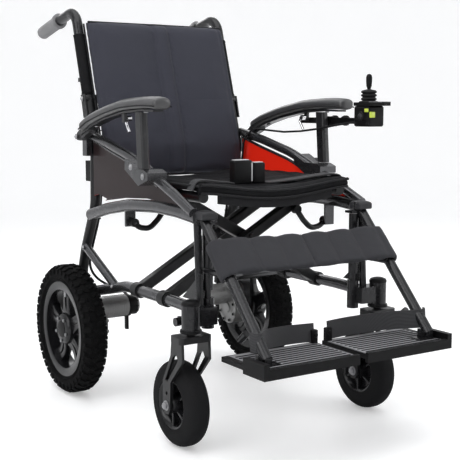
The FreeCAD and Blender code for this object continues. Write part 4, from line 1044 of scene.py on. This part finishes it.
def joystick():
    centre = middle("joystick")
    low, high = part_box("joystick")
    top, base = high.z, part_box("joystick_boot")[0].z
    foot = Vector((centre.x, centre.y, 0))
    ribs = [(base, 0.0165), (base, 0.0205), (base + 0.002, 0.0208)]
    for k in range(3):
        level = base + 0.0035 + 0.0078 * k
        ribs += [(level, 0.0140), (level + 0.0016, 0.0168), (level + 0.0037, 0.0180), (level + 0.0058, 0.0168),
                 (level + 0.0074, 0.0138)]
    boot = turned(ribs + [(base + 0.0280, 0.0060), (base + 0.0285, 0.0048)], foot, Z, 48)
    piece("joystick_bellows", boot, RUBBER, "joystick_gimbal", ["joystick_boot"])
    knob = turned([(low.z, 0), (low.z, 0.005), (top - 0.034, 0.0036), (top - 0.031, 0.0046), (top - 0.027, 0.0060),
                   (top - 0.018, 0.0067), (top - 0.009, 0.0070), (top - 0.004, 0.0060), (top - 0.001, 0.0035),
                   (top, 0)], foot, Z, 40)
    piece("joystick_knob", knob, BLACK, "joystick_stick", ["joystick"])


def controller_trim():
    """Keys, lamp, lens and seams on the control box."""
    low, high = mm(215, -530, 648), mm(261, -478, 702)
    top = high.z
    keys = merged(*(box((x, low.y + 0.001, top - 0.0004), (x + 0.007, low.y + 0.0045, top + 0.0016), 0.0006)
                    for x in (0.218, 0.2285, 0.239, 0.2495)))
    join(keys, box((0.2230, low.y - 0.030, top - 0.0004), (0.2530, low.y - 0.006, top + 0.0012), 0.002))
    piece("control_keys", keys, GREY, "arm_left")
    marks = merged(*(box((x, low.y - 0.020, top + 0.0010), (x + 0.004, low.y - 0.016, top + 0.0017), 0.0002)
                     for x in (0.226, 0.233, 0.240, 0.247)))
    piece("control_lamps", marks, WHITE, "arm_left")
    ring = turned([(top - 0.0005, 0.0195), (top - 0.0005, 0.0222), (top + 0.0013, 0.0220), (top + 0.0022, 0.0210),
                   (top + 0.0013, 0.0196)], mm(238, -503, 0), Z, 48)
    join(ring, box(mm(214, -526, 664), mm(262, -482, 666), 0.0009))
    for y in (-522, -486):
        join(ring, rod(mm(214.2, y, 655), mm(254.5, y, 655), 0.0028, 14, 0.0006))
    eye = mm(215, -505, 671)
    join(ring, turned([(-0.001, 0.0105), (0.0035, 0.0105), (0.0045, 0.0095), (0.0045, 0.0078), (0.0028, 0.0072),
                       (0.0026, 0), (-0.001, 0)], eye, -X, 40))
    piece("control_trim", ring, RUBBER, "arm_left")
    lens = merged(box(mm(213.5, -528, 680), mm(216.5, -516, 688), 0.0012, 3),
                  box(mm(217, -532.5, 668), mm(232, -529, 681), 0.0014, 3))
    piece("control_lens", lens, LENS, "arm_left")
    glass = turned([(0.0030, 0), (0.0030, 0.0074), (0.0052, 0.0060), (0.0064, 0.0030), (0.0068, 0)], eye, -X, 40)
    piece("control_eye", glass, CAP, "arm_left")
    dials = bmesh.new()
    for y in (-372, -332):
        hub = mm(276, y, 660)
        for k in range(14):
            angle = TURN * k / 14
            spot = hub + Vector((0, 0.0105 * math.sin(angle), 0.0105 * math.cos(angle)))
            join(dials, rod(spot, spot + X * 0.010, 0.0019, 8, 0.0004))
        join(dials, rod(hub - X * 0.004, hub + X * 0.0105, 0.0105, 28, 0.001))
    piece("rail_adjusters", dials, BLACK, "arm_left")
    joint = merged(rod(mm(236, -478, 656), mm(236, -462, 656), 0.0055, 20, 0.001, 0.0035),
                   rod(mm(236, -480, 656), mm(236, -474, 656), 0.0075, 20, 0.001))
    piece("lead_strain_relief", joint, RUBBER, "arm_left")


for side, s in SIDES:
    arm_pad(side)
    push_grip(side, s)
joystick()
controller_trim()


# ---------------------------------------------------------------- drives, battery, footplates
GEAR_BOLTS = 8
GEAR_CIRCLE = 0.0345
MOTOR_FINS = 9


def drive_trim(side, s):
    body = FRAME_OF[side]
    axis = mm(0, 4, 196)
    finned = bmesh.new()
    for k in range(MOTOR_FINS):
        x = s * (0.126 + 0.0062 * k)
        low, high = x - 0.0011, x + 0.0011
        join(finned, turned([(low, 0.0265), (low, 0.0282), (high, 0.0282), (high, 0.0265)],
                            (0, axis.y, axis.z), X, 56))
    for k in range(4):
        angle = TURN * (k + 0.5) / 4
        spot = Vector((s * 0.1185, axis.y + 0.0245 * math.sin(angle), axis.z + 0.0245 * math.cos(angle)))
        join(finned, rod(spot, spot + X * s * 0.070, 0.0032, 12, 0.0005))
    piece("motor_fins_" + side, finned, SILVER, body)
    cap = turned([(0.0845, 0), (0.0845, 0.012), (0.0855, 0.0175), (0.089, 0.0225), (0.094, 0.0248),
                  (0.1095, 0.0248),
                  (0.1095, 0.0238), (0.1095, 0)], (0, axis.y, axis.z), X * s, 56)
    for k in range(12):
        angle = TURN * k / 12
        slot_ = box((s * 0.0955 - 0.004, -0.0016, 0.0240), (s * 0.0955 + 0.004, 0.0016, 0.0256), 0.0006)
        slot_.transform(Matrix.Translation((0, axis.y, axis.z)) @ Matrix.Rotation(angle, 4, "X"))
        join(cap, slot_)
    piece("motor_cap_" + side, cap, BLACK, body)
    centre = mm(s * 190, 0, 156.5)
    cover = turned([(0, 0), (0, 0.040), (-0.002, 0.0405), (-0.0035, 0.039), (-0.004, 0.030), (-0.0025, 0.028),
                    (-0.0025, 0.014), (-0.006, 0.012), (-0.0065, 0)], centre, X * s, 64)
    bolts = bmesh.new()
    for k in range(GEAR_BOLTS):
        angle = TURN * (k + 0.5) / GEAR_BOLTS
        spot = centre + Vector((0, GEAR_CIRCLE * math.cos(angle), GEAR_CIRCLE * math.sin(angle)))
        if math.hypot(spot.y - axis.y, spot.z - axis.z) > 0.031:
            join(cover, rod(spot - X * s * 0.0035, spot - X * s * 0.0055, 0.0055, 20, 0.0004))
            join(bolts, rod(spot - X * s * 0.005, spot - X * s * 0.008, 0.0036, 6, 0.0005))
    piece("gear_cover_" + side, cover, SILVER, body)
    piece("gear_bolts_" + side, bolts, BLACK, body)
    lead = swept([mm(s * 100, 20, 214), mm(s * 102, 40, 226), mm(s * 130, 62, 236), mm(s * 170, 66, 262),
                  mm(s * 192, 56, 300), mm(s * 190, 34, 352), mm(s * 187, 2, 420), mm(s * 184, -8, 480),
                  mm(s * 178, 6, 520)], 0.0032, 10, 3)
    for place in ((s * 194, 55, 302), (s * 187, 3, 420)):
        join(lead, turned([(-0.0018, 0.0042), (-0.0018, 0.0052), (0.0018, 0.0052), (0.0018, 0.0042)],
                          mm(*place), Z, 20))
    piece("motor_lead_" + side, lead, RUBBER, body)


PLATE_TOP = 214.0


def footplate_trim(side, s):
    """A grey inlay and rubber treads on top of each plate."""
    low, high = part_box("footplate_" + side)
    body = "plate_" + side
    front, rear = (low.y - AXLE) * 1000 + 10, (high.y - AXLE) * 1000 - 4
    inlay = bmesh.new()
    for x, y in (((14, 222), (-711, rear)), ((14, 172), (-748, -711)), ((14, 222), (front, -748))):
        join(inlay, box(mm(min(s * x[0], s * x[1]), y[0], PLATE_TOP - 0.5),
                        mm(max(s * x[0], s * x[1]), y[1], PLATE_TOP + 0.5), 0.0003))
    piece("foot_inlay_" + side, inlay, GREY, body)
    ribs = bmesh.new()
    for k in range(9):
        y = (low.y - AXLE) * 1000 + 18 + k * 13
        reach = 172 if -752 < y < -708 else 218
        x0, x1 = sorted((s * 20, s * reach))
        join(ribs, box(mm(x0, y - 2.2, PLATE_TOP), mm(x1, y + 2.2, PLATE_TOP + 1.8), 0.0009))
    piece("foot_treads_" + side, ribs, RUBBER, body)


def battery_trim():
    low, high = mm(-136, 32, 478), mm(-16, 92, 668)
    shell = bmesh.new()
    for z0, z1 in ((low.z + 0.050, low.z + 0.0535), (high.z - 0.036, high.z - 0.033)):
        join(shell, box((low.x - 0.001, low.y - 0.001, z0), (high.x + 0.001, high.y + 0.001, z1), 0.001))
    for k in range(6):
        z = low.z + 0.072 + k * 0.011
        join(shell, box((low.x + 0.020, high.y - 0.001, z), (high.x - 0.020, high.y + 0.0015, z + 0.005), 0.001))
    piece("battery_seams", shell, RUBBER, "root")
    handle = ribbon([mm(-112, 62, 666), mm(-112, 62, 684), mm(-98, 62, 694), mm(-76, 62, 696), mm(-54, 62, 694),
                     mm(-40, 62, 684), mm(-40, 62, 666)], (0, 0.022, 0), 0.003)
    piece("battery_handle", handle, WEBBING, "root")
    piece("battery_switch", box(mm(-92, 91, 640), mm(-60, 93.5, 656), 0.001), RED, "root")


def bolt_set(name, body, places, material=STEEL):
    """Button-headed bolts on washers; each place is a point, an outward direction and a head radius."""
    bm = bmesh.new()
    for point, outward, radius in places:
        point, outward = Vector(point), Vector(outward)
        join(bm, rod(point, point + outward * 0.0014, radius * 1.35, 24, 0.0003))
        join(bm, turned([(0.001, radius), (radius * 0.5, radius * 0.92), (radius * 0.85, radius * 0.55),
                         (radius * 0.92, radius * 0.42), (radius * 0.5, radius * 0.36), (radius * 0.5, 0)],
                        point, outward, 20))
    piece(name, bm, material, body)


def frame_bolts(side, s):
    out, body = X * s, FRAME_OF[side]
    bolt_set("frame_bolts_" + side, body, [
        (mm(s * 252.6, -350, 545), out, 0.0055), (mm(s * 252.6, -296, 563), out, 0.0055),
        (mm(s * 231.6, -40, 205), out, 0.005), (mm(s * 231.6, 44, 220), out, 0.005),
        (mm(s * 231.6, -26, 132), out, 0.005), (mm(s * 249.6, -524, 276), out, 0.0045),
        (mm(s * 227.2, 10, 350), out, 0.0045), (mm(s * 225.2, -142, 276), out, 0.0045)])
    bolt_set("back_pivot_bolts_" + side, "cane_" + side, [(mm(s * 220.6, 14.6, 712), out, 0.005)])
    bolt_set("arm_pivot_bolts_" + side, body, [(mm(s * 254.6, -22, 622), out, 0.0045)])
    cover = shaped_block((8, 12, 4), lambda u, v, w: mm(
        s * (203 + (u - 0.5) * 36), -522 + (v - 0.5) * 38,
        (467 + 19 * w) - 3.0 * ((2 * u - 1) ** 2 + (2 * v - 1) ** 2) * w))
    bevel_sharp(cover, 0.004, 3, 0.8)
    piece("front_cap_" + side, cover, CAP, body)


for side, s in SIDES:
    drive_trim(side, s)
    frame_bolts(side, s)
    footplate_trim(side, s)
battery_trim()

# ---------------------------------------------------------------- finishes of the frame's own nodes
NODE_FINISH = {
    FRAME: ("front_upright", "back_cane", "hanger"), RAIL: ("arch_rail", "lower_rail", "arm_rail"),
    BRACE: ("rear_upright", "cross_tubes_a", "cross_tubes_b", "fold_link", "cane_latch", "caster_fork"),
    POST: ("arm_frame",), GUARD: ("side_guard",), CHROME: ("arm_latch",), SILVER: ("drive_unit",),
    BLACK: ("clutch_lever", "controller", "battery_pack", "footplate"), STEEL: ("joystick_gimbal",),
    RUBBER: ("controller_lead",),
}
for material, kinds in NODE_FINISH.items():
    for kind in kinds:
        for name in (kind, kind + "_right", kind + "_left"):
            if name in nodes:
                nodes[name].data.materials.clear()
                nodes[name].data.materials.append(material)
